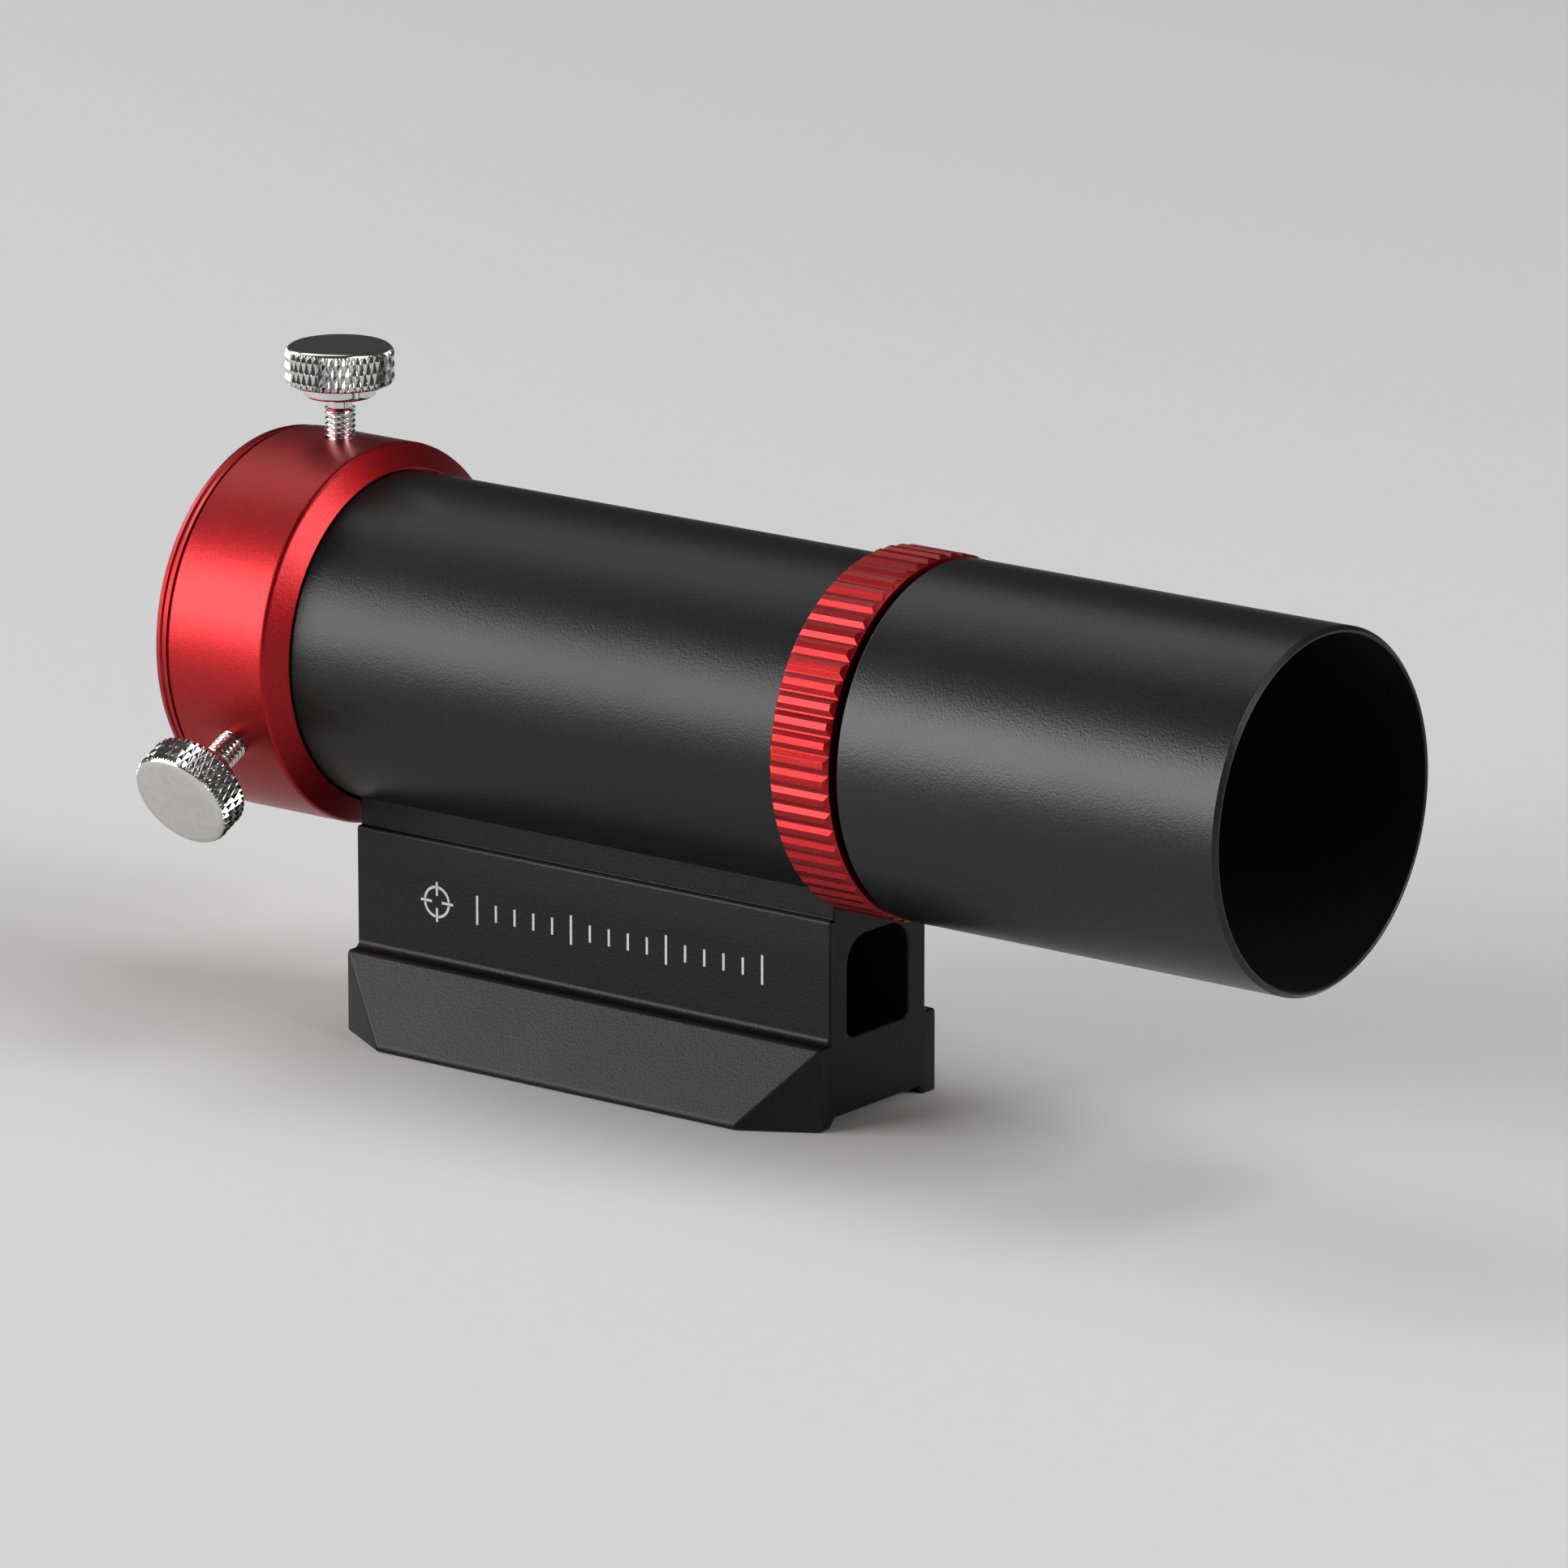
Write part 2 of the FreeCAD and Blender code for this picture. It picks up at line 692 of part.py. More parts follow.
for item in doc.Objects:
    if "Invalid" in item.State or "Error" in item.State:
        raise RuntimeError(f"{item.Label} failed: {item.State}")
for part in subparts:
    if part.Shape.isNull() or not part.Shape.isValid():
        raise RuntimeError(f"{part.Label} has no valid shape")

os.makedirs("parts", exist_ok=True)
for part in subparts:
    part.Shape.exportStep(f"parts/{part.Label}.step")
    print(part.Label, len(part.Shape.Solids), "solids", round(part.Shape.Volume, 1), "mm3")
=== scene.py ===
import json
import math

import bmesh
import bpy
from mathutils import Matrix, Vector


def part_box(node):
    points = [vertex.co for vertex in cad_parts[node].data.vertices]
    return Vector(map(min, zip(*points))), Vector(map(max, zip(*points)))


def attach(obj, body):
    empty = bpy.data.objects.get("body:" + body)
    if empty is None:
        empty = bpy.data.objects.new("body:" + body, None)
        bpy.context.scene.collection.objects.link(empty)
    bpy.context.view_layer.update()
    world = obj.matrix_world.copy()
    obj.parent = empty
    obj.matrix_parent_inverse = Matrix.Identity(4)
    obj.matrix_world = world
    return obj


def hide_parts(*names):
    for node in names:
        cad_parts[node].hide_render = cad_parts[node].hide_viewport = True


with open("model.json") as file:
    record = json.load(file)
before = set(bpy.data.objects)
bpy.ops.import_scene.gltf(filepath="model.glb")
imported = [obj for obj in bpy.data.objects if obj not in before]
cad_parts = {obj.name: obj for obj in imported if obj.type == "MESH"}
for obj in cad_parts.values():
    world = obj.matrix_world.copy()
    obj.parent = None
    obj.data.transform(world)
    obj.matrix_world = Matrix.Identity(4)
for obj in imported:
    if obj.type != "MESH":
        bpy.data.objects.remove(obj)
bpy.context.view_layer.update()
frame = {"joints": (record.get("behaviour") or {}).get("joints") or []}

# Looks for a finder scope. Lengths in this file are in millimetres, in the frame of the CAD model:
# +X along the optical axis towards the objective, +Z up. Meshes are written in metres.
MM = 0.001


# ---------------------------------------------------------------- sizes that come from the CAD frame
def box_mm(node):
    """A CAD node's lowest and highest corners, in millimetres."""
    low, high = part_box(node)
    return low / MM, high / MM


SHIELD_LOW, SHIELD_HIGH = box_mm("dew_shield")
AXIS_Z = (SHIELD_LOW.z + SHIELD_HIGH.z) / 2


def radius_of(node):
    """The outer radius of a piece turned about the optical axis."""
    low, high = box_mm(node)
    return (high.y - low.y) / 2


def span_of(node):
    """Where a piece begins and ends along the optical axis."""
    low, high = box_mm(node)
    return low.x, high.x


SHIELD_REAR, SHIELD_FRONT = span_of("dew_shield")
SHIELD_R = radius_of("dew_shield")
TUBE_REAR, TUBE_FRONT = span_of("main_tube")
TUBE_R = radius_of("main_tube")
ADAPTER_REAR, ADAPTER_FRONT = span_of("rear_adapter")
ADAPTER_R = radius_of("rear_adapter")
RING_REAR, RING_FRONT = span_of("focus_lock_ring")
RING_R = radius_of("focus_lock_ring")
CELL_REAR, CELL_FRONT = span_of("objective_cell")
CELL_R = radius_of("objective_cell")
RETAINER_REAR, RETAINER_FRONT = span_of("lens_retaining_ring")
BASE_END = box_mm("mounting_base")[1].x
SCREWS_LOW, SCREWS_HIGH = box_mm("base_screws")
WASHERS_LOW, WASHERS_HIGH = box_mm("base_screw_washers")
HEAD_LOW, HEAD_HIGH = box_mm("thumbscrew_top")
TIP_LOW, TIP_HIGH = box_mm("thumbscrew_tip_top")
THUMB_X = (HEAD_LOW.x + HEAD_HIGH.x) / 2
HEAD_R = (HEAD_HIGH.x - HEAD_LOW.x) / 2
HEAD_TOP = HEAD_HIGH.z - AXIS_Z
SHANK_END = HEAD_LOW.z - AXIS_Z

# ---------------------------------------------------------------- sizes of the details
TUBE_BORE = 18.4
TUBE_SHOULDER_REAR = -39.5
TUBE_SHOULDER_FRONT = 37.7
ADAPTER_THREAD_R = 19.9
FOCUS_THREAD_R = 19.8
FOCUS_PITCH = 0.75
FOCUS_THREAD_DEPTH = 0.4
THREAD_BORE = 19.87

CAMERA_BORE = 15.95
THUMB_HOLE_R = 2.0
THUMB_PITCH = 0.7
THUMB_THREAD_DEPTH = 0.33
KNURL_COUNT = 44
KNURL_HEIGHT = 2.88
KNURL_DEPTH = 0.34
KNURL_CREST = 0.125
KNURL_STEPS = 16
KNURL_CENTRE = 32.3

RING_TEETH = 60
RING_NOTCH_DEPTH = 0.36
RING_NOTCH_FLOOR = 0.2
RING_NOTCH_SLOPE = 1.87
RING_CHAMFER = 0.4
RING_CHAMFER_FRONT = 0.65
RING_CHAMFER_REAR = 0.42

SHIELD_BORE = 21.6
SHIELD_SEAT_R = 21.3
SHIELD_SEAT_FRONT = 70.7
SHIELD_EDGE = 0.5

# how the meshes are made
ROUND_STEP = math.radians(15)
HOLD = 0.04
TURNED_SEGMENTS = 192
SMOOTH_ANGLE = math.radians(32)
KNURL_SMOOTH_ANGLE = math.radians(20)
BEND = "bend"
FLAT_BEND = 0.525
# where edges reach their full pale colour: partly wear, partly a painted highlight along edges and fillets
EDGE_WEAR_AND_HIGHLIGHT_BEND = 0.60


# ---------------------------------------------------------------- outlines
def rounded(corners, closed=True):
    """Turn (a, b, rounding) corners into points, with an arc at each corner that has a rounding."""
    points = []
    count = len(corners)
    for index, (a, b, rounding) in enumerate(corners):
        here = Vector((a, b))
        at_end = not closed and index in (0, count - 1)
        if rounding <= 0 or at_end:
            points.append(here)
            continue
        before = (Vector(corners[index - 1][:2]) - here).normalized()
        after = (Vector(corners[(index + 1) % count][:2]) - here).normalized()
        half = before.angle(after) / 2
        centre = here + (before + after).normalized() * (rounding / math.sin(half))
        start = here + before * (rounding / math.tan(half)) - centre
        turn = start.angle_signed(here + after * (rounding / math.tan(half)) - centre)
        steps = max(2, math.ceil(abs(turn) / ROUND_STEP))
        for step in range(steps + 1):
            angle = -turn * step / steps
            points.append(centre + Matrix.Rotation(angle, 2) @ start)
    return points


def held(points, closed=True):
    """Add a point just inside each end of every long run, so that smooth shading leaves the run plain."""
    result = []
    count = len(points)
    for index in range(count):
        here = points[index]
        result.append(here)
        if not closed and index == count - 1:
            break
        run = points[(index + 1) % count] - here
        if run.length > 8 * HOLD:
            step = run.normalized() * HOLD
            result.append(here + step)
            result.append(here + run - step)
    return result


# ---------------------------------------------------------------- meshes
SCOPE_AXIS = Matrix.Translation((0, 0, AXIS_Z))


def new_object(name, vertices, faces, place=Matrix.Identity(4)):
    """An object made of vertices given in millimetres, which are moved by place and written in metres."""
    mesh = bpy.data.meshes.new(name)
    mesh.from_pydata([place @ Vector(vertex) * MM for vertex in vertices], [], faces)
    mesh.validate()
    work = bmesh.new()
    work.from_mesh(mesh)
    bmesh.ops.recalc_face_normals(work, faces=work.faces)
    work.to_mesh(mesh)
    work.free()
    obj = bpy.data.objects.new(name, mesh)
    bpy.context.scene.collection.objects.link(obj)
    return obj


def ring_faces(one, other, split=None):
    """Faces between two rings of vertices, one of which may be a whole number of times finer."""
    if len(one) > len(other):
        one, other = other, one
    ratio = len(other) // len(one)
    faces = []
    for step in range(len(one)):
        far = [other[(step * ratio + index) % len(other)] for index in range(ratio + 1)]
        face = [one[step], *far, one[(step + 1) % len(one)]]
        diagonal = split(step) if split else 0
        if diagonal > 0:
            faces += [[face[0], face[1], face[2]], [face[0], face[2], face[3]]]
        elif diagonal < 0:
            faces += [[face[0], face[1], face[3]], [face[1], face[2], face[3]]]
        else:
            faces.append(list(dict.fromkeys(face)))
    return [face for face in faces if len(face) > 2]


def turned(name, points, segments=TURNED_SEGMENTS, relief=None, closed=True, place=SCOPE_AXIS, split=None):
    """Turn (along, radius) points about X.

    segments is one number, or one for each point. relief(angle, along, radius) gives each vertex its own
    radius. split(angle, along) chooses the diagonal of a quad: 1 rising, -1 falling and 0 for none.
    """
    vertices = []
    rings = []
    counts = segments if isinstance(segments, list) else [segments] * len(points)
    for (along, radius), count in zip(points, counts):
        if radius < 1e-6:
            rings.append([len(vertices)] * count)
            vertices.append((along, 0, 0))
            continue
        rings.append(list(range(len(vertices), len(vertices) + count)))
        for step in range(count):
            angle = 2 * math.pi * step / count
            out = relief(angle, along, radius) if relief else radius
            vertices.append((along, -out * math.sin(angle), out * math.cos(angle)))
    faces = []
    for index in range(len(points) if closed else len(points) - 1):
        following = (index + 1) % len(points)
        middle = (points[index][0] + points[following][0]) / 2
        count = counts[index]

        def chosen(step):
            return split(2 * math.pi * (step + 0.5) / count, middle)

        faces += ring_faces(rings[index], rings[following], chosen if split else None)
    return new_object(name, vertices, faces, place)


def apply_modifiers(obj):
    """Turn the object's modifiers into plain mesh."""
    graph = bpy.context.evaluated_depsgraph_get()
    mesh = bpy.data.meshes.new_from_object(obj.evaluated_get(graph))
    obj.modifiers.clear()
    obj.data = mesh
    return obj


def cut_away(obj, cutters):
    """Remove the cutters' volume from the object and delete the cutters."""
    for cutter in cutters:
        difference = obj.modifiers.new("cut", "BOOLEAN")
        difference.operation = "DIFFERENCE"
        difference.solver = "EXACT"
        difference.object = cutter
    bpy.context.view_layer.update()
    apply_modifiers(obj)
    for cutter in cutters:
        bpy.data.objects.remove(cutter)
    return obj


def rod(name, radius, start, end, place, segments=64):
    """A plain cutter from start to end along X, before place moves it."""
    points = [(start, 0), (start, radius), (end, radius), (end, 0)]
    return turned(name, points, segments, closed=False, place=place)


def shade(obj, angle=SMOOTH_ANGLE):
    obj.data.shade_smooth()
    obj.data.set_sharp_from_angle(angle=angle)
    return obj


def soften_edges(obj, width, angle):
    """Bevel every edge that turns by more than angle."""
    bevel = obj.modifiers.new("edges", "BEVEL")
    bevel.width = width * MM
    bevel.segments = 2
    bevel.limit_method = "ANGLE"
    bevel.angle_limit = angle
    bevel.use_clamp_overlap = True
    return apply_modifiers(obj)


def weigh_normals(obj):
    """Let large faces set the shading, so that flat faces beside small bevels look flat."""
    obj.data.shade_smooth()
    weighted = obj.modifiers.new("normals", "WEIGHTED_NORMAL")
    weighted.keep_sharp = True
    return apply_modifiers(obj)


def store_bend(obj):
    """Store how the surface bends at each vertex: 0.5 where it is flat, and more on an outer edge.

    Blender's own pointiness takes vertices a third of a millimetre apart for one, which is too coarse here.
    """
    work = bmesh.new()
    work.from_mesh(obj.data)
    bends = []
    for vertex in work.verts:
        edges = [(edge.other_vert(vertex).co - vertex.co).normalized() for edge in vertex.link_edges]
        mean = sum(edges, Vector()) / max(1, len(edges))
        bends.append(math.acos(max(-1.0, min(1.0, vertex.normal.dot(mean)))) / math.pi)
    stored = obj.data.attributes.new(BEND, "FLOAT", "POINT")
    for vertex in work.verts:
        around = [bends[edge.other_vert(vertex).index] for edge in vertex.link_edges]
        stored.data[vertex.index].value = (bends[vertex.index] + sum(around)) / (1 + len(around))
    work.free()


def finish_piece(obj, body, material, slot, *nodes, inner=None, inner_radius=0, smooth=SMOOTH_ANGLE):
    """Give a piece its material and its body, and hide the CAD nodes it stands for. The slot argument is
    not used.

    inner is the material of the faces that lie nearer to the optical axis than inner_radius.
    """
    obj.data.materials.clear()
    obj.data.materials.append(material)
    if inner:
        obj.data.materials.append(inner)
        for face in obj.data.polygons:
            centre = face.center / MM
            if math.hypot(centre.y, centre.z - AXIS_Z) < inner_radius:
                face.material_index = 1
    shade(obj, smooth)
    # these materials get edges painted paler: partly wear, partly a painted highlight
    if material in EDGE_WEAR_AND_HIGHLIGHT_MATERIALS:
        store_bend(obj)
    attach(obj, body)
    if nodes:
        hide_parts(*nodes)
    return obj


# ---------------------------------------------------------------- threads and knurls
def thread_height(turns):
    """0 at the crest and 1 at the root of a thread, for a place along it counted in turns."""
    phase = turns % 1.0
    crest, flank = 0.16, 0.30
    if phase < crest:
        return 0.0
    if phase < crest + flank:
        return (phase - crest) / flank
    if phase < 1 - flank:
        return 1.0
    return (1 - phase) / flank


def thread_relief(start, end, pitch, depth):
    """A right-hand thread between start and end that fades out over its last turn."""
    def relief(angle, along, radius):
        inside = min(along - start, end - along)
        if inside <= 0:
            return radius
        fade = min(1.0, inside / pitch)
        return radius - depth * fade * thread_height((along - start) / pitch - angle / (2 * math.pi))
    return relief


def stations(start, end, radius, spacing):
    """Evenly spaced (along, radius) points from start to end."""
    count = max(1, round((end - start) / spacing))
    return [Vector((start + (end - start) * step / count, radius)) for step in range(count + 1)]


def knurl_grooves(angle, along):
    """How deep each of the two crossing sets of grooves is, from 0 on a crest to 1."""
    across = angle * KNURL_COUNT / (2 * math.pi)
    up = (along - KNURL_CENTRE) / KNURL_HEIGHT
    depths = []
    for place in (across + up, across - up):
        groove = abs(2 * (place % 1.0) - 1)
        depths.append(max(0.0, (groove - KNURL_CREST) / (1 - KNURL_CREST)))
    return depths


def knurl_diagonal(angle, along):
    """The diagonal that follows the deeper groove."""
    rising, falling = knurl_grooves(angle, along)
    return -1 if rising > falling else 1


# ---------------------------------------------------------------- materials
def material_with(name, **settings):
    """A material with a Principled shader whose plain values are set on its own sockets."""
    material = bpy.data.materials.new(name)
    material.use_nodes = True
    shader = material.node_tree.nodes["Principled BSDF"]
    for socket, value in settings.items():
        shader.inputs[socket.replace("_", " ")].default_value = value
    return material


def add_node(material, kind, **settings):
    node = material.node_tree.nodes.new(kind)
    for name, value in settings.items():
        if hasattr(node, name):
            setattr(node, name, value)
        else:
            node.inputs[name.replace("_", " ")].default_value = value
    return node


def link(material, from_socket, to_socket):
    material.node_tree.links.new(from_socket, to_socket)


def noise_on(material, scale, detail):
    """Noise in the object's own coordinates; scale is in waves per metre."""
    coordinates = add_node(material, "ShaderNodeTexCoord")
    texture = add_node(material, "ShaderNodeTexNoise", Scale=scale, Detail=detail)
    link(material, coordinates.outputs["Object"], texture.inputs["Vector"])
    return texture.outputs["Fac"]


def spread(material, value, low, high, from_low=0.3, from_high=0.7):
    """Map a value between from_low and from_high, such as a noise, to the range from low to high."""
    node = add_node(material, "ShaderNodeMapRange")
    node.inputs["From Min"].default_value = from_low
    node.inputs["From Max"].default_value = from_high
    node.inputs["To Min"].default_value = low
    node.inputs["To Max"].default_value = high
    link(material, value, node.inputs["Value"])
    return node.outputs["Result"]


def between(material, value, first, second):
    """A colour from first to second, chosen by a value; first may also be another node's output."""
    node = add_node(material, "ShaderNodeMix", data_type="RGBA")
    first_socket, second_socket = (socket for socket in node.inputs if socket.type == "RGBA")
    if isinstance(first, tuple):
        first_socket.default_value = (*first, 1)
    else:
        link(material, first, first_socket)
    second_socket.default_value = (*second, 1)
    link(material, value, node.inputs["Factor"])
    return next(socket for socket in node.outputs if socket.type == "RGBA")


def shader_of(material):
    return material.node_tree.nodes["Principled BSDF"]


def colour_from(material, value, dark, light):
    link(material, between(material, value, dark, light), shader_of(material).inputs["Base Color"])


def roughness_from(material, value, low, high):
    link(material, spread(material, value, low, high), shader_of(material).inputs["Roughness"])


def bump_from(material, value, strength, distance):
    """distance is the height of the bumps, in millimetres."""
    bump = add_node(material, "ShaderNodeBump", Strength=strength, Distance=distance * MM)
    link(material, value, bump.inputs["Height"])
    link(material, bump.outputs["Normal"], shader_of(material).inputs["Normal"])


def edge_wear_and_highlight(material):
    """0 on faces and up to 1 on outer edges, where the colour is painted paler: partly wear and partly a
    painted highlight.
    """
    bend = add_node(material, "ShaderNodeAttribute", attribute_name=BEND)
    return spread(material, bend.outputs["Fac"], 0, 1, FLAT_BEND, EDGE_WEAR_AND_HIGHLIGHT_BEND)


def blasted(material, dark, light, worn_and_highlight, roughness):
    """Bead-blasted, anodised aluminium: a fine grain with slight mottling, and paler edges that are partly
    wear and partly a painted highlight.
    """
    grain = noise_on(material, 3400, 2.0)
    face_colour = between(material, spread(material, grain, 0, 1), dark, light)
    # edges painted paler: partly wear, partly a painted highlight
    colour = between(material, edge_wear_and_highlight(material), face_colour, worn_and_highlight)
    link(material, colour, shader_of(material).inputs["Base Color"])
    roughness_from(material, noise_on(material, 60, 3.0), roughness - 0.015, roughness + 0.02)
    bump_from(material, grain, 0.8, 0.038)


def make_black_anodised(name, gloss, roughness):
    material = material_with(name, Metallic=0.0, Specular_IOR_Level=gloss)
    # the third colour is the paler edge colour: partly wear, partly a painted highlight
    blasted(material, (0.004, 0.004, 0.0043), (0.010, 0.010, 0.0105), (0.045, 0.045, 0.047), roughness)
    return material


def make_red_anodised():
    material = material_with("red_anodised", Metallic=1.0, Coat_Weight=0.4, Coat_Roughness=0.32)
    # the third colour is the paler edge colour: partly wear, partly a painted highlight
    blasted(material, (0.30, 0.002, 0.004), (0.42, 0.005, 0.008), (0.54, 0.035, 0.035), 0.42)
    return material


def make_bright_nickel():
    material = material_with("bright_nickel", Metallic=1.0)
    marks = noise_on(material, 900, 3.0)
    colour_from(material, spread(material, marks, 0, 1), (0.66, 0.655, 0.65), (0.74, 0.735, 0.73))
    roughness_from(material, noise_on(material, 1500, 3.0), 0.10, 0.15)
    bump_from(material, marks, 0.10, 0.002)
    return material


def make_white_nylon():
    material = material_with("white_nylon", Subsurface_Weight=0.15, Subsurface_Scale=0.001)
    mottle = noise_on(material, 1200, 3.0)
    colour_from(material, spread(material, mottle, 0, 1), (0.74, 0.73, 0.69), (0.84, 0.83, 0.79))
    roughness_from(material, mottle, 0.42, 0.55)
    bump_from(material, mottle, 0.2, 0.01)
    return material


def make_black_oxide():
    material = material_with("black_oxide_steel", Metallic=0.85)
    marks = noise_on(material, 2600, 3.0)
    colour_from(material, spread(material, marks, 0, 1), (0.030, 0.030, 0.033), (0.060, 0.058, 0.058))
    roughness_from(material, noise_on(material, 700, 3.0), 0.30, 0.42)
    bump_from(material, marks, 0.2, 0.01)
    return material


def make_black_rubber():
    material = material_with("black_rubber", Specular_IOR_Level=0.3)
    mottle = noise_on(material, 2500, 3.0)
    colour_from(material, spread(material, mottle, 0, 1), (0.012, 0.012, 0.012), (0.024, 0.024, 0.024))
    roughness_from(material, mottle, 0.70, 0.85)
    bump_from(material, mottle, 0.3, 0.02)
    return material


def make_matte_black():
    material = material_with("matte_black", Specular_IOR_Level=0.12)
    grain = noise_on(material, 3800, 3.0)
    colour_from(material, spread(material, grain, 0, 1), (0.003, 0.003, 0.003), (0.007, 0.007, 0.007))
    roughness_from(material, grain, 0.78, 0.92)
    bump_from(material, grain, 0.5, 0.03)
    return material


def make_coated_glass(name, tint):
    material = material_with(
        name, Roughness=0.0, IOR=1.52, Transmission_Weight=1.0, Coat_Weight=0.5, Coat_Roughness=0.02,
        Coat_IOR=1.8, Coat_Tint=(*tint, 1),
    )
    film = noise_on(material, 30, 1.0)
    colour_from(material, spread(material, film, 0, 1), (0.93, 0.97, 0.95), (0.97, 0.98, 0.98))
    return material


def make_marking():
    material = material_with("pale_marking", Specular_IOR_Level=0.35)
    grain = noise_on(material, 5200, 2.0)
    colour_from(material, spread(material, grain, 0, 1), (0.50, 0.50, 0.50), (0.66, 0.66, 0.66))
    roughness_from(material, grain, 0.55, 0.70)
    bump_from(material, grain, 0.3, 0.01)
    return material


def make_floor_material():
    material = material_with("pale_floor", Specular_IOR_Level=0.15)
    mottle = noise_on(material, 400, 3.0)
    colour_from(material, spread(material, mottle, 0, 1), (0.745, 0.745, 0.745), (0.755, 0.755, 0.755))
    roughness_from(material, mottle, 0.80, 0.90)
    return material


BLACK = make_black_anodised("black_anodised", 0.27, 0.345)
SHIELD_BLACK = make_black_anodised("black_anodised_shield", 0.36, 0.325)
BASE_BLACK = make_black_anodised("black_anodised_base", 0.17, 0.36)
RED = make_red_anodised()
NICKEL = make_bright_nickel()
NYLON = make_white_nylon()
OXIDE = make_black_oxide()
RUBBER = make_black_rubber()
MATTE = make_matte_black()
CROWN_GLASS = make_coated_glass("coated_glass", (0.45, 0.85, 0.62))
FLINT_GLASS = make_coated_glass("coated_glass_rear", (0.55, 0.50, 0.85))
MARKING = make_marking()
FLOOR = make_floor_material()
# materials whose edges are painted paler: partly wear, partly a painted highlight
EDGE_WEAR_AND_HIGHLIGHT_MATERIALS = (BLACK, SHIELD_BLACK, BASE_BLACK, RED)


# ---------------------------------------------------------------- main tube
def build_main_tube():
    thread_start, thread_end = TUBE_SHOULDER_FRONT + 0.35, TUBE_FRONT - 0.3
    thread_root = FOCUS_THREAD_R - FOCUS_THREAD_DEPTH
    chamfer = 0.15
    body = rounded([
        (TUBE_FRONT - chamfer, TUBE_BORE, 0),
        (TUBE_REAR, TUBE_BORE, 0.15),
        (TUBE_REAR, ADAPTER_THREAD_R, 0.15),
        (TUBE_SHOULDER_REAR, ADAPTER_THREAD_R, 0),
        (TUBE_SHOULDER_REAR, TUBE_R, 0.12),
        (TUBE_SHOULDER_FRONT, TUBE_R, 0.12),
        (TUBE_SHOULDER_FRONT, thread_root, 0),
        (thread_start - 0.1, thread_root, 0),
    ], closed=False)
    points = held(body, closed=False)
    points += stations(thread_start, thread_end, FOCUS_THREAD_R, FOCUS_PITCH / 6)
    points += [Vector((TUBE_FRONT, FOCUS_THREAD_R - 0.3)), Vector((TUBE_FRONT, TUBE_BORE + chamfer))]
    thread = thread_relief(thread_start, thread_end, FOCUS_PITCH, FOCUS_THREAD_DEPTH)
    tube = turned("tube_shell", points, relief=thread)
    finish_piece(tube, "scope_body", BLACK, "black_anodised", "main_tube",
                 inner=MATTE, inner_radius=TUBE_BORE + 0.05)


# ---------------------------------------------------------------- dew shield, cell and retaining ring
def build_dew_shield():
    points = held(rounded([
        (SHIELD_REAR, SHIELD_SEAT_R, 0.1),
        (SHIELD_REAR, SHIELD_R - 0.3, 0.08),
        (SHIELD_REAR + 0.3, SHIELD_R, 0.15),
        (SHIELD_FRONT - SHIELD_EDGE, SHIELD_R, 0.10),
        (SHIELD_FRONT, SHIELD_R - SHIELD_EDGE, 0.06),
        (SHIELD_FRONT, SHIELD_BORE, 0.3),
        (SHIELD_SEAT_FRONT, SHIELD_BORE, 0),
        (SHIELD_SEAT_FRONT, SHIELD_SEAT_R, 0),
    ]))
    shield = turned("dew_shield_shell", points)
    finish_piece(shield, "objective", SHIELD_BLACK, "black_anodised", "dew_shield",
                 inner=MATTE, inner_radius=SHIELD_BORE + 0.03)


def build_objective_cell():
    seat_front, seat_rear, seat_r, pocket_r = 59.4, 58.2, 15.9, 17.05
    points = held(rounded([
        (CELL_REAR, THREAD_BORE, 0.2),
        (CELL_REAR, CELL_R, 0.15),
        (CELL_FRONT, CELL_R, 0.5),
        (CELL_FRONT, pocket_r, 0.15),
        (seat_front, pocket_r, 0),
        (seat_front, seat_r, 0.1),
        (seat_rear, seat_r, 0.1),
        (seat_rear, THREAD_BORE, 0),
    ]))
    cell = turned("lens_cell", points)
    finish_piece(cell, "objective", BLACK, "black_anodised", "objective_cell")


def build_retaining_ring():
    outer, bore, slot_width, slot_depth = 17.05, 16.0, 1.4, 0.8
    points = held(rounded([
        (RETAINER_REAR, bore, 0),
        (RETAINER_REAR, outer, 0),
        (RETAINER_FRONT, outer, 0.1),
        (RETAINER_FRONT, bore, 0.2),
    ]))
    ring = turned("retaining_ring", points)
    bottom = RETAINER_FRONT - slot_depth
    corners = [
        (x, y, z)
        for x in (bottom, RETAINER_FRONT + 1)
        for y in (-outer - 1, outer + 1)
        for z in (-slot_width / 2, slot_width / 2)
    ]
    faces = [(0, 1, 3, 2), (4, 5, 7, 6), (0, 1, 5, 4), (2, 3, 7, 6), (0, 2, 6, 4), (1, 3, 7, 5)]
    cut_away(ring, [new_object("slot_cutter", corners, faces, SCOPE_AXIS)])
    finish_piece(ring, "objective", BLACK, "black_anodised", "lens_retaining_ring")


def build_cushion_ring():
    low, high = box_mm("lens_cushion_ring")
    section = (high.x - low.x) / 2
    middle, radius = (low.x + high.x) / 2, (high.y - low.y) / 2 - section
    sides = 16
    points = []
    for side in range(sides):
        turn = 2 * math.pi * side / sides
        points.append(Vector((middle + section * math.cos(turn), radius + section * math.sin(turn))))
    ring = turned("cushion_ring", points)
    finish_piece(ring, "lens_group", RUBBER, "black_rubber", "lens_cushion_ring")


# ---------------------------------------------------------------- lenses
LENS_R = 17.0
LENS_BEVEL_WIDTH = 0.15
LENS_BEVEL_DEPTH = 0.1
CROWN_FACES = ((61.51, 43.1), (69.01, -72.4))
FLINT_FACES = ((58.71, 170.6), (61.21, 43.4))
SPACER_REAR = 64.39
SPACER_FRONT = 64.69
SPACER_BORE = 16.35
SPACER_R = 16.95


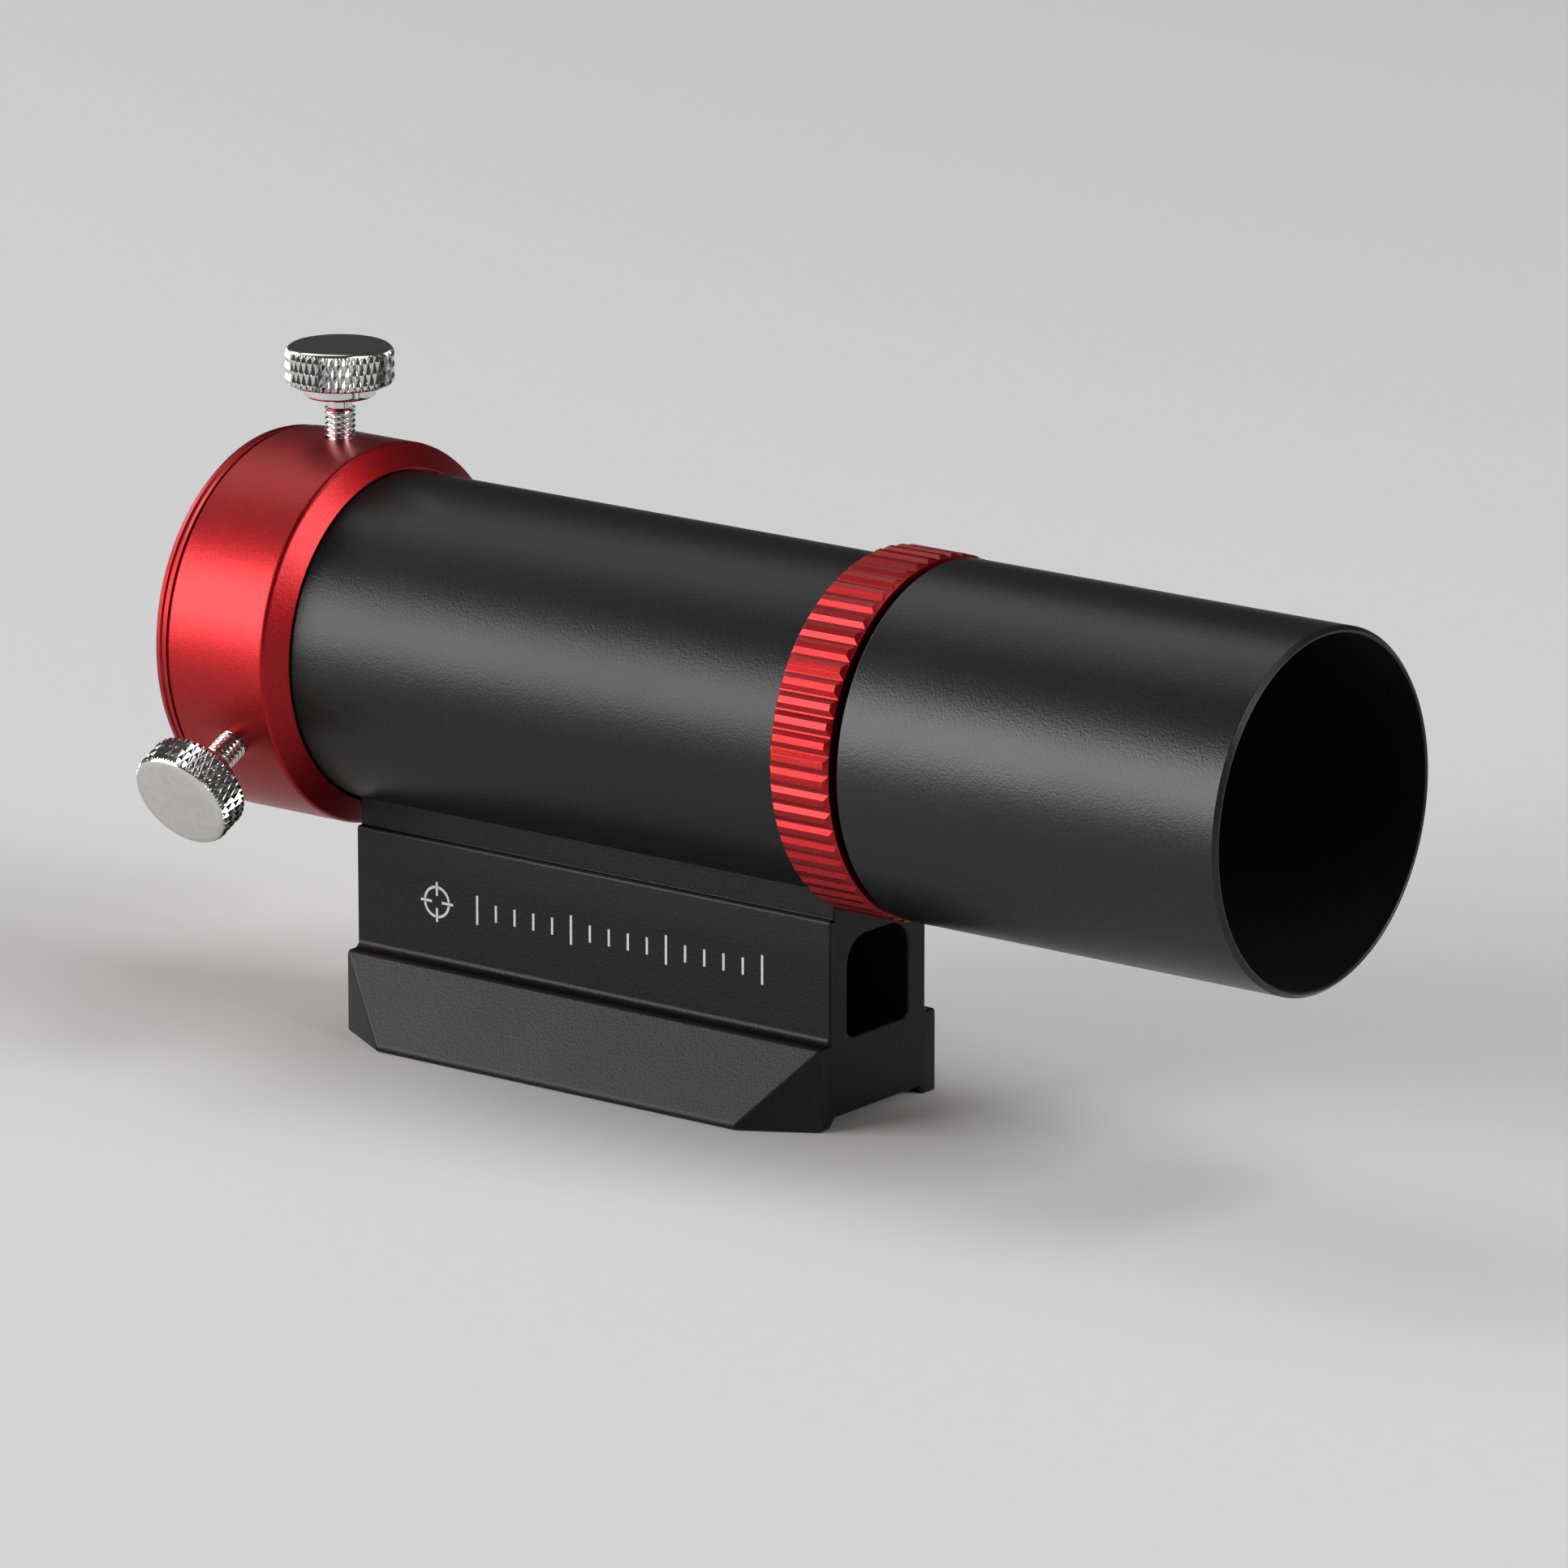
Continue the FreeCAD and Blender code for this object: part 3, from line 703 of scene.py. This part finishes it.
def cap(vertex, curve, rim, outwards):
    """Points on a spherical face from the axis to the rim; a positive curve has its centre in front."""
    points = []
    steps = 20
    for step in range(steps + 1):
        radius = rim * step / steps
        sag = abs(curve) - math.sqrt(curve * curve - radius * radius)
        points.append(Vector((vertex + math.copysign(sag, curve), radius)))
    return points if outwards else points[::-1]


def build_lens(name, node, material, rear, front):
    """A lens from its rear and front faces, each (vertex, curve)."""
    points = cap(*rear, LENS_R - LENS_BEVEL_WIDTH, True)
    points += [Vector((points[-1].x + LENS_BEVEL_DEPTH, LENS_R))]
    front_points = cap(*front, LENS_R - LENS_BEVEL_WIDTH, False)
    points += [Vector((front_points[0].x - LENS_BEVEL_DEPTH, LENS_R))] + front_points
    lens = turned(name, points, segments=128, closed=False)
    finish_piece(lens, "lens_group", material, "coated_glass", node)


def build_lenses():
    build_lens("crown_element", "crown_lens", CROWN_GLASS, *CROWN_FACES)
    build_lens("flint_element", "flint_lens", FLINT_GLASS, *FLINT_FACES)
    spacer = turned("spacer_ring", held(rounded([
        (SPACER_REAR, SPACER_BORE, 0),
        (SPACER_REAR, SPACER_R, 0),
        (SPACER_FRONT, SPACER_R, 0),
        (SPACER_FRONT, SPACER_BORE, 0),
    ])))
    finish_piece(spacer, "lens_group", BLACK, "black_anodised", "lens_spacer_ring")


def build_baffles():
    wall, length = 0.8, 4.0
    for name, front_x, aperture in (("front_baffle", 20.0, 13.0), ("rear_baffle", -20.0, 10.0)):
        points = held(rounded([
            (front_x, aperture, 0),
            (front_x - wall, aperture + wall, 0),
            (front_x - wall, TUBE_BORE - wall, 0.3),
            (front_x - length, TUBE_BORE - wall, 0.1),
            (front_x - length, TUBE_BORE, 0),
            (front_x, TUBE_BORE, 0.3),
        ]))
        baffle = turned(name + "_disc", points)
        finish_piece(baffle, "scope_body", MATTE, "matte_black", name)


# ---------------------------------------------------------------- rear adapter
def outward_axis(side):
    """The direction in which a thumbscrew points away from the optical axis."""
    joint = next(j for j in frame["joints"] if j["name"] == f"thumbscrew_{side}_turn")
    return -Vector(joint["axis"]).normalized()


def radial_place(side):
    """Stand a piece that was turned about X on the optical axis at a thumbscrew."""
    turn = Vector((1, 0, 0)).rotation_difference(outward_axis(side)).to_matrix().to_4x4()
    return Matrix.Translation((THUMB_X, 0, AXIS_Z)) @ turn


SIDES = ("top", "left", "right")


def build_rear_adapter():
    groove_rear, groove_front, groove_r = -56.3, -55.7, ADAPTER_R - 0.5
    band_r, band_step = ADAPTER_R - 0.17, -57.35
    cone_start, lip_r, lip_rear = -40.55, 21.3, ADAPTER_FRONT - 0.85
    points = held(rounded([
        (ADAPTER_REAR, CAMERA_BORE, 0.35),
        (ADAPTER_REAR, band_r - 0.45, 0),
        (ADAPTER_REAR + 0.3, band_r - 0.18, 0.05),
        (band_step, band_r, 0.04),
        (band_step + 0.23, band_r - 0.2, 0),
        (groove_rear, band_r, 0.04),
        (groove_rear, groove_r, 0.05),
        (groove_front, groove_r, 0.05),
        (groove_front, ADAPTER_R, 0.08),
        (cone_start, ADAPTER_R, 0.8),
        (ADAPTER_FRONT, lip_r + 0.12, 0.1),
        (ADAPTER_FRONT, lip_r, 0),
        (lip_rear, lip_r, 0),
        (lip_rear, ADAPTER_THREAD_R, 0),
        (TUBE_REAR, ADAPTER_THREAD_R, 0),
        (TUBE_REAR, CAMERA_BORE, 0),
    ]))
    adapter = turned("camera_adapter", points, segments=256)
    cut_away(adapter, [
        rod(f"hole_{side}", THUMB_HOLE_R, 10, ADAPTER_R + 5, radial_place(side)) for side in SIDES
    ])
    finish_piece(adapter, "scope_body", RED, "red_anodised", "rear_adapter")


# ---------------------------------------------------------------- thumbscrews
COLLAR_BOTTOM = 29.85
COLLAR_R = 4.65
HEAD_BOTTOM = 31.5
HEAD_CHAMFER = 0.45
HEAD_ROUNDING = 1.2
SHANK_R = 1.95
RELIEF_R = 1.62
STEM_HOLE_R = 1.0
STEM_HOLE_DEPTH = 2.0
THREAD_TOP = COLLAR_BOTTOM - 1.5
HEAD_SEGMENTS = KNURL_COUNT * KNURL_STEPS
SHANK_SEGMENTS = HEAD_SEGMENTS // 11


def head_radius(along):
    """The thumbscrew head's outline before it is knurled: a chamfer below and a rounding above."""
    if along < HEAD_BOTTOM + HEAD_CHAMFER:
        return HEAD_R - HEAD_CHAMFER + (along - HEAD_BOTTOM)
    into = along - (HEAD_TOP - HEAD_ROUNDING)
    if into > 0:
        return HEAD_R - HEAD_ROUNDING + math.sqrt(max(0.0, HEAD_ROUNDING ** 2 - into ** 2))
    return HEAD_R


KNURL_ROW = KNURL_HEIGHT / KNURL_STEPS
KNURL_START = KNURL_CENTRE - KNURL_ROW * math.floor((KNURL_CENTRE - HEAD_BOTTOM) / KNURL_ROW)
KNURL_END = HEAD_TOP - HEAD_ROUNDING * (1 - math.sin(math.acos(1 - KNURL_DEPTH / HEAD_ROUNDING)))


def shank_outline():
    """The threaded shank, from the bottom of the nylon tip's hole to the collar."""
    points = [
        Vector((SHANK_END + STEM_HOLE_DEPTH, 0)),
        Vector((SHANK_END + STEM_HOLE_DEPTH, STEM_HOLE_R)),
        Vector((SHANK_END, STEM_HOLE_R)),
        Vector((SHANK_END, SHANK_R - 0.35)),
        Vector((SHANK_END + 0.1, SHANK_R - 0.1)),
    ]
    points += stations(SHANK_END + 0.2, THREAD_TOP, SHANK_R, THUMB_PITCH / 10)
    return points + rounded([
        (THREAD_TOP + 0.12, RELIEF_R, 0),
        (COLLAR_BOTTOM, RELIEF_R, 0.2),
        (COLLAR_BOTTOM, RELIEF_R + 0.5, 0),
    ], closed=False)


def head_outline():
    """The collar and the head, with rows close enough for the knurl and for the rounding above it."""
    collar = held(rounded([
        (COLLAR_BOTTOM, COLLAR_R - 0.8, 0),
        (COLLAR_BOTTOM, COLLAR_R, 0.5),
        (HEAD_BOTTOM, COLLAR_R, 0.1),
        (HEAD_BOTTOM, HEAD_R - HEAD_CHAMFER, 0),
    ], closed=False), closed=False)
    rows = math.floor((KNURL_END - KNURL_START) / KNURL_ROW) + 1
    band = [KNURL_START + KNURL_ROW * index for index in range(rows)]
    start_turn = math.asin(max(0.0, (band[-1] - HEAD_TOP + HEAD_ROUNDING) / HEAD_ROUNDING))
    steps = 9
    for step in range(1, steps + 1):
        turn = start_turn + (math.pi / 2 - start_turn) * step / steps
        band.append(HEAD_TOP - HEAD_ROUNDING * (1 - math.sin(turn)))
    head = [Vector((along, head_radius(along))) for along in band]
    top = [Vector((HEAD_TOP, radius)) for radius in (HEAD_R - HEAD_ROUNDING - HOLD, 1.0, 0)]
    return collar + head + top


def build_thumbscrew(side):
    thread = thread_relief(SHANK_END + 0.1, THREAD_TOP, THUMB_PITCH, THUMB_THREAD_DEPTH)

    def relief(angle, along, radius):
        if along < THREAD_TOP:
            return thread(angle, along, radius)
        if radius > COLLAR_R + 0.1 and along > HEAD_BOTTOM:
            return min(radius, HEAD_R - KNURL_DEPTH * max(knurl_grooves(angle, along)))
        return radius

    def split(angle, along):
        return knurl_diagonal(angle, along) if KNURL_START < along < KNURL_END else 0

    shank, head = shank_outline(), head_outline()
    counts = [SHANK_SEGMENTS] * len(shank) + [HEAD_SEGMENTS] * len(head)
    screw = turned(f"thumbscrew_{side}_knurled", shank + head, counts, relief, False,
                   radial_place(side), split)
    finish_piece(screw, f"screw_{side}", NICKEL, "bright_nickel", f"thumbscrew_{side}",
                 smooth=KNURL_SMOOTH_ANGLE)


def build_thumbscrew_tip(side):
    low, high = TIP_LOW.z - AXIS_Z, TIP_HIGH.z - AXIS_Z
    tip_r, stem_r, shoulder = 1.5, 0.95, SHANK_END - 0.05
    points = held(rounded([
        (low, 0, 0),
        (low, tip_r, 0.3),
        (shoulder, tip_r, 0.05),
        (shoulder, stem_r, 0),
        (high, stem_r, 0.1),
        (high, 0, 0),
    ], closed=False), closed=False)
    tip = turned(f"thumbscrew_tip_{side}_nylon", points, 48, closed=False, place=radial_place(side))
    finish_piece(tip, f"tip_{side}", NYLON, "white_nylon", f"thumbscrew_tip_{side}")


# ---------------------------------------------------------------- focus lock ring
def build_lock_ring():
    """A ring whose teeth are flat crests between trapezoid notches, with both ends chamfered."""
    tooth = 2 * math.pi / RING_TEETH
    just_above_floor = RING_R - RING_NOTCH_DEPTH + 0.005
    floor_share = 1 - (RING_R - just_above_floor) / RING_CHAMFER
    bore_chamfer = 0.3

    def toothed(along, crest_r):
        """One ring of vertices, with the crests at crest_r and their corners on the notch's flanks."""
        points = []
        floor_r = min(RING_R - RING_NOTCH_DEPTH, crest_r - 0.01)
        floor_half = RING_NOTCH_FLOOR / 2 / floor_r
        mouth_half = (RING_NOTCH_FLOOR / 2 + RING_NOTCH_SLOPE * (crest_r - floor_r)) / crest_r
        for index in range(RING_TEETH):
            middle = index * tooth
            for angle, radius in (
                (-floor_half, floor_r), (floor_half, floor_r), (mouth_half, crest_r),
                (tooth / 2, crest_r), (tooth - mouth_half, crest_r),
            ):
                turn = middle + angle
                points.append((along, -radius * math.sin(turn), radius * math.cos(turn)))
        return points

    def plain(along, radius):
        """One ring of vertices on a circle, at the same angles as the teeth."""
        return [
            (along, y * radius / math.hypot(y, z), z * radius / math.hypot(y, z))
            for _, y, z in toothed(along, RING_R)
        ]

    loops = [
        plain(RING_REAR, THREAD_BORE + bore_chamfer),
        plain(RING_REAR, RING_R - RING_CHAMFER),
        toothed(RING_REAR + floor_share * RING_CHAMFER_REAR, just_above_floor),
        toothed(RING_REAR + RING_CHAMFER_REAR, RING_R),
        toothed(RING_FRONT - RING_CHAMFER_FRONT, RING_R),
        toothed(RING_FRONT - floor_share * RING_CHAMFER_FRONT, just_above_floor),
        plain(RING_FRONT, RING_R - RING_CHAMFER),
        plain(RING_FRONT, THREAD_BORE + bore_chamfer),
        plain(RING_FRONT - bore_chamfer, THREAD_BORE),
        plain(RING_REAR + bore_chamfer, THREAD_BORE),
    ]
    count = len(loops[0])
    vertices = [vertex for loop in loops for vertex in loop]
    faces = []
    for level in range(len(loops)):
        one, other = level * count, (level + 1) % len(loops) * count
        for step in range(count):
            following = (step + 1) % count
            faces.append((one + step, one + following, other + following, other + step))
    ring = new_object("lock_ring_knurled", vertices, faces, SCOPE_AXIS)
    soften_edges(ring, 0.04, math.radians(18))
    weigh_normals(ring)
    finish_piece(ring, "lock_ring", RED, "red_anodised", "focus_lock_ring")


# ---------------------------------------------------------------- mounting base
RISER_HALF = 9.8
LIP_HALF = 9.0
PANEL_TOP = 26.5
FOOT_TOP = 10.65
FOOT_TOP_HALF = 11.9
FOOT_BOTTOM_HALF = 17.3
FOOT_LAND = 0.8
FOOT_CORNER = 9.05
RAIL_HALF_GAP = 9.8
CHANNEL_HALF = 8.7
CHANNEL_DEPTH = 1.2
WINDOW_HALF = 6.25
WINDOW_BOTTOM = 10.9
WINDOW_TOP = 23.5
WINDOW_TOP_R = 3.6
WINDOW_BOTTOM_R = 1.2
SCREW_X = 22.0
ACCESS_R = 4.2
SPOT_FACE = 0.3
SCREW_HOLE_R = 2.2

# how far the base's edges are rounded
WIDEST_EDGE = 1.0
BASE_EDGE = 0.32
FINE_EDGE = 0.06
LONG_EDGES = {
    (RISER_HALF, FOOT_TOP): 1.0,
    (RISER_HALF, PANEL_TOP): 0.4,
    (LIP_HALF, PANEL_TOP): 0.15,
    (CHANNEL_HALF, CHANNEL_DEPTH): 0.15,
}
SAME_PLACE = 0.02


def base_section():
    """The right half of the base's section as an outer run and a window run, both from bottom to top."""
    lip_top = AXIS_Z - math.sqrt(TUBE_R ** 2 - LIP_HALF ** 2)
    outer = rounded([
        (0, CHANNEL_DEPTH, 0),
        (CHANNEL_HALF, CHANNEL_DEPTH, 0),
        (RAIL_HALF_GAP, 0, 0),
        (FOOT_BOTTOM_HALF, 0, 0),
        (FOOT_BOTTOM_HALF, FOOT_LAND, 0),
        (FOOT_TOP_HALF, FOOT_TOP, 0),
        (RISER_HALF, FOOT_TOP, 0),
        (RISER_HALF, PANEL_TOP, 0),
        (LIP_HALF, PANEL_TOP, 0),
        (LIP_HALF, lip_top, 0),
    ], closed=False)
    reach = math.asin(LIP_HALF / TUBE_R)
    steps = 12
    for step in range(1, steps + 1):
        angle = reach * (1 - step / steps)
        outer.append(Vector((TUBE_R * math.sin(angle), AXIS_Z - TUBE_R * math.cos(angle))))
    window = rounded([
        (0, WINDOW_BOTTOM, 0),
        (WINDOW_HALF, WINDOW_BOTTOM, WINDOW_BOTTOM_R),
        (WINDOW_HALF, WINDOW_TOP, WINDOW_TOP_R),
        (0, WINDOW_TOP, 0),
    ], closed=False)
    return outer, window


def base_block():
    """The section run along X, with its window, as one closed mesh."""
    outer, window = base_section()
    places = {}
    vertices = []

    def vertex(end, y, z):
        key = (end, round(y, 5), round(z, 5))
        if key not in places:
            places[key] = len(vertices)
            vertices.append((end * BASE_END, y, z))
        return places[key]

    faces = []
    for side in (1, -1):
        boundary = [(side * p.x, p.y) for p in outer] + [(side * p.x, p.y) for p in reversed(window)]
        for end in (1, -1):
            faces.append([vertex(end, y, z) for y, z in boundary])
        for run in (outer, window):
            for lower, upper in zip(run, run[1:]):
                faces.append([
                    vertex(1, side * lower.x, lower.y), vertex(1, side * upper.x, upper.y),
                    vertex(-1, side * upper.x, upper.y), vertex(-1, side * lower.x, lower.y),
                ])
    return new_object("base_body", vertices, faces)


def cut_foot_corners(obj):
    """Slice the four corners off the foot with upright planes."""
    work = bmesh.new()
    work.from_mesh(obj.data)
    for x_side in (1, -1):
        for y_side in (1, -1):
            inner = Vector((x_side * BASE_END, y_side * FOOT_TOP_HALF, 0)) * MM
            outer = Vector((x_side * (BASE_END - FOOT_CORNER), y_side * FOOT_BOTTOM_HALF, 0)) * MM
            normal = (outer - inner).cross(Vector((0, 0, 1))).normalized()
            if normal.x * x_side < 0:
                normal.negate()
            made = bmesh.ops.bisect_plane(
                work, geom=work.verts[:] + work.edges[:] + work.faces[:], plane_co=inner, plane_no=normal,
                clear_outer=True, dist=1e-7,
            )
            edges = [item for item in made["geom_cut"] if isinstance(item, bmesh.types.BMEdge)]
            bmesh.ops.contextual_create(work, geom=edges)
    bmesh.ops.recalc_face_normals(work, faces=work.faces)
    work.to_mesh(obj.data)
    work.free()


def base_rounding(one, other):
    """How far the base's edge between two corners is rounded: finely at the tube and the screw holes."""
    at_tube = abs(math.hypot(one.y, one.z - AXIS_Z) - TUBE_R) < SAME_PLACE
    level = abs(one.z - other.z) < SAME_PLACE / 2
    at_screw_hole = level and abs(one.z - WINDOW_TOP) < SPOT_FACE + 0.1 and abs(one.x) < 30
    if at_tube or at_screw_hole:
        return FINE_EDGE
    if abs(one.x - other.x) > 20:
        for (y, z), rounding in LONG_EDGES.items():
            if math.hypot(abs(one.y) - y, one.z - z) < SAME_PLACE:
                return rounding
    return BASE_EDGE


def round_base_edges(obj):
    """Bevel the base's edges, each to its own width, as weights on one bevel."""
    work = bmesh.new()
    work.from_mesh(obj.data)
    layer = work.edges.layers.float.new("bevel_weight_edge")
    for edge in work.edges:
        if len(edge.link_faces) == 2 and edge.calc_face_angle(0) >= math.radians(24):
            edge[layer] = base_rounding(*(vert.co / MM for vert in edge.verts)) / WIDEST_EDGE
    work.to_mesh(obj.data)
    work.free()
    bevel = obj.modifiers.new("edges", "BEVEL")
    bevel.width = WIDEST_EDGE * MM
    bevel.segments = 3
    bevel.limit_method = "WEIGHT"
    bevel.use_clamp_overlap = False
    apply_modifiers(obj)
    weigh_normals(obj)


def upright_at(x):
    """Stand a piece that was turned about X upright, at a place along the base."""
    return Matrix.Translation((x, 0, 0)) @ Matrix.Rotation(math.radians(-90), 4, "Y")


def build_base():
    base = base_block()
    cutters = []
    for x in (SCREW_X, -SCREW_X):
        place = upright_at(x)
        cutters.append(rod("access_cutter", ACCESS_R, -5, WINDOW_TOP + SPOT_FACE, place))
        cutters.append(rod("screw_cutter", SCREW_HOLE_R, WINDOW_TOP - 1, AXIS_Z - TUBE_R + 3, place))
    cut_foot_corners(base)
    cut_away(base, cutters)
    round_base_edges(base)
    finish_piece(base, "scope_body", BASE_BLACK, "black_anodised", "mounting_base")


# ---------------------------------------------------------------- base screws and washers
def hexagon(apothem):
    """A relief that turns a ring into a hexagon of that apothem."""
    def relief(angle):
        from_flat = (angle + math.pi / 6) % (math.pi / 3) - math.pi / 6
        return apothem / math.cos(from_flat)
    return relief


def join(name, objects):
    """One object that holds several meshes."""
    work = bmesh.new()
    for obj in objects:
        work.from_mesh(obj.data)
    mesh = bpy.data.meshes.new(name)
    work.to_mesh(mesh)
    work.free()
    for obj in objects:
        bpy.data.objects.remove(obj)
    joined = bpy.data.objects.new(name, mesh)
    bpy.context.scene.collection.objects.link(joined)
    return joined


def build_base_fasteners():
    bottom, top = SCREWS_LOW.z, SCREWS_HIGH.z
    head_r, shank_r, socket_depth, apothem = 3.5, 2.0, 2.0, 1.5
    washer_r, washer_low, washer_high = 4.0, WASHERS_LOW.z, WASHERS_HIGH.z
    segments = 72
    hexed = hexagon(apothem)
    thread_cut = thread_relief(washer_high, top, 0.7, 0.3)

    def relief(angle, along, radius):
        if radius <= apothem + 0.01 and along <= bottom + socket_depth:
            return hexed(angle) * radius / apothem
        if along > washer_high:
            return thread_cut(angle, along, radius)
        return radius

    screws, washers = [], []
    for x in (SCREW_X, -SCREW_X):
        place = upright_at(x)
        head = held(rounded([
            (bottom + socket_depth, 0, 0),
            (bottom + socket_depth, apothem, 0),
            (bottom, apothem, 0),
            (bottom, head_r, 0.45),
            (washer_low, head_r, 0.1),
            (washer_low, shank_r, 0),
        ], closed=False), closed=False)
        thread = stations(washer_low + 0.1, top - 0.2, shank_r, 0.07)
        end = [Vector((top, shank_r - 0.3)), Vector((top, 0))]
        screws.append(turned("cap_screw", head + thread + end, segments, relief, closed=False, place=place))
        outline = held(rounded([
            (washer_low, SCREW_HOLE_R, 0),
            (washer_low, washer_r, 0.15),
            (washer_high, washer_r, 0.15),
            (washer_high, SCREW_HOLE_R, 0),
        ]))
        washers.append(turned("washer", outline, segments, place=place))
    finish_piece(join("base_cap_screws", screws), "scope_body", OXIDE, "black_oxide_steel", "base_screws")
    finish_piece(join("base_washers", washers), "scope_body", OXIDE, "black_oxide_steel",
                 "base_screw_washers")


# ---------------------------------------------------------------- generic marking on the base
MARK_Z = 18.6
MARK_STROKE = 0.34
MARK_PROUD = 0.015
RETICLE_X = -24.5
RETICLE_R = 2.1
TICKS = 16
TICKS_START = -18.0
TICKS_END = 27.0


def reticle_ring():
    """Corners of the short pieces of the cross-hair's ring, with a gap at each hair."""
    steps = 48
    for step in range(steps):
        if step % 12 in (0, 11):
            continue
        start, end = 2 * math.pi * step / steps, 2 * math.pi * (step + 1) / steps
        outer, inner = RETICLE_R, RETICLE_R - MARK_STROKE
        yield [
            (RETICLE_X + radius * math.cos(angle), MARK_Z + radius * math.sin(angle))
            for radius, angle in ((outer, start), (outer, end), (inner, end), (inner, start))
        ]


def reticle_hairs():
    """Corners of the cross-hair's four hairs."""
    near, far = 0.8, RETICLE_R + 0.5
    for turn in range(4):
        along = Vector((math.cos(turn * math.pi / 2), math.sin(turn * math.pi / 2)))
        across = Vector((-along.y, along.x)) * MARK_STROKE / 2
        yield [
            tuple(Vector((RETICLE_X, MARK_Z)) + along * reach + across * side)
            for reach, side in ((near, 1), (far, 1), (far, -1), (near, -1))
        ]


def scale_ticks():
    """Corners of the row of ticks, in which every fifth is long."""
    half = MARK_STROKE / 2
    for index in range(TICKS):
        x = TICKS_START + (TICKS_END - TICKS_START) * index / (TICKS - 1)
        height = 1.9 if index % 5 == 0 else 1.1
        low, high = MARK_Z - height, MARK_Z + height
        yield [(x - half, low), (x + half, low), (x + half, high), (x - half, high)]


def build_marking():
    """A plain cross-hair and a row of ticks on the near side, as thin closed plates."""
    vertices, faces = [], []
    for corners in (*reticle_ring(), *reticle_hairs(), *scale_ticks()):
        start = len(vertices)
        count = len(corners)
        for y in (-RISER_HALF - MARK_PROUD, -RISER_HALF + 0.02):
            vertices.extend((x, y, z) for x, z in corners)
        faces.append(list(range(start, start + count)))
        faces.append(list(range(start + count, start + 2 * count)))
        for step in range(count):
            one, other = start + step, start + (step + 1) % count
            faces.append([one, other, other + count, one + count])
    mark = new_object("panel_mark", vertices, faces)
    finish_piece(mark, "scope_body", MARKING, "pale_marking")


# ---------------------------------------------------------------- floor, lights and camera
AIM = Vector((22.91, 0, 39.55)) * MM
CAMERA_AZIMUTH = 37.316
CAMERA_ELEVATION = 14.956
CAMERA_DISTANCE = 1.3621
CAMERA_LENS = 253.33
SENSOR = 36.0

# azimuth and elevation in degrees, distance, width and height in metres, and radiance
SOFTBOXES = {
    "key_softbox": (-42, 15, 2.2, 1.9, 1.2, 7.4),
    "top_softbox": (-114, 52, 2.4, 1.5, 0.8, 1.5),
    "front_softbox": (96, 26, 2.3, 1.2, 1.0, 9.0),
    "rear_softbox": (-92, 26, 2.3, 0.8, 1.0, 4.5),
    "floor_light": (120, 66, 3.0, 1.3, 1.3, 2.4),
}


def build_floor():
    """A large pale floor just under the foot; its size is in metres."""
    size, drop = 6.0, 0.02 * MM
    mesh = bpy.data.meshes.new("studio_floor")
    corners = [(-size, -size, -drop), (size, -size, -drop), (size, size, -drop), (-size, size, -drop)]
    mesh.from_pydata(corners, [], [(0, 1, 2, 3)])
    floor = bpy.data.objects.new("studio_floor", mesh)
    bpy.context.scene.collection.objects.link(floor)
    floor.data.materials.append(FLOOR)


def direction(azimuth, elevation):
    """A unit vector from the object towards a place round it; 0 degrees of azimuth is -Y and 90 is +X."""
    a, e = math.radians(azimuth), math.radians(elevation)
    return Vector((math.sin(a) * math.cos(e), -math.cos(a) * math.cos(e), math.sin(e)))


def add_softbox(name, azimuth, elevation, distance, width, height, radiance):
    """An area light that faces the object; radiance is how bright its surface looks."""
    data = bpy.data.lights.new(name, "AREA")
    data.shape = "RECTANGLE"
    data.size = width
    data.size_y = height
    data.energy = radiance * math.pi * width * height
    lamp = bpy.data.objects.new(name, data)
    away = direction(azimuth, elevation)
    lamp.location = AIM + away * distance
    lamp.rotation_mode = "QUATERNION"
    lamp.rotation_quaternion = (-away).to_track_quat("-Z", "Y")
    lamp.visible_camera = False
    bpy.context.scene.collection.objects.link(lamp)


def build_lights():
    world = bpy.data.worlds.new("studio")
    bpy.context.scene.world = world
    world.use_nodes = True
    background = world.node_tree.nodes["Background"]
    background.inputs["Color"].default_value = (1.0, 1.0, 1.0, 1)
    background.inputs["Strength"].default_value = 0.06
    for name, settings in SOFTBOXES.items():
        add_softbox(name, *settings)


def build_camera():
    data = bpy.data.cameras.new("photo_camera")
    data.sensor_width = SENSOR
    data.lens = CAMERA_LENS
    data.clip_start = 0.05
    data.clip_end = 50
    camera = bpy.data.objects.new("photo_camera", data)
    back = direction(CAMERA_AZIMUTH, CAMERA_ELEVATION)
    camera.location = AIM + back * CAMERA_DISTANCE
    camera.rotation_mode = "QUATERNION"
    camera.rotation_quaternion = (-back).to_track_quat("-Z", "Y")
    bpy.context.scene.collection.objects.link(camera)
    bpy.context.scene.camera = camera
    bpy.context.scene.view_settings.view_transform = "Standard"


# ---------------------------------------------------------------- the whole scene
build_main_tube()
build_dew_shield()
build_objective_cell()
build_retaining_ring()
build_cushion_ring()
build_lenses()
build_baffles()
build_rear_adapter()
for side in SIDES:
    build_thumbscrew(side)
    build_thumbscrew_tip(side)
build_lock_ring()
build_base()
build_base_fasteners()
build_marking()
build_floor()
build_lights()
build_camera()
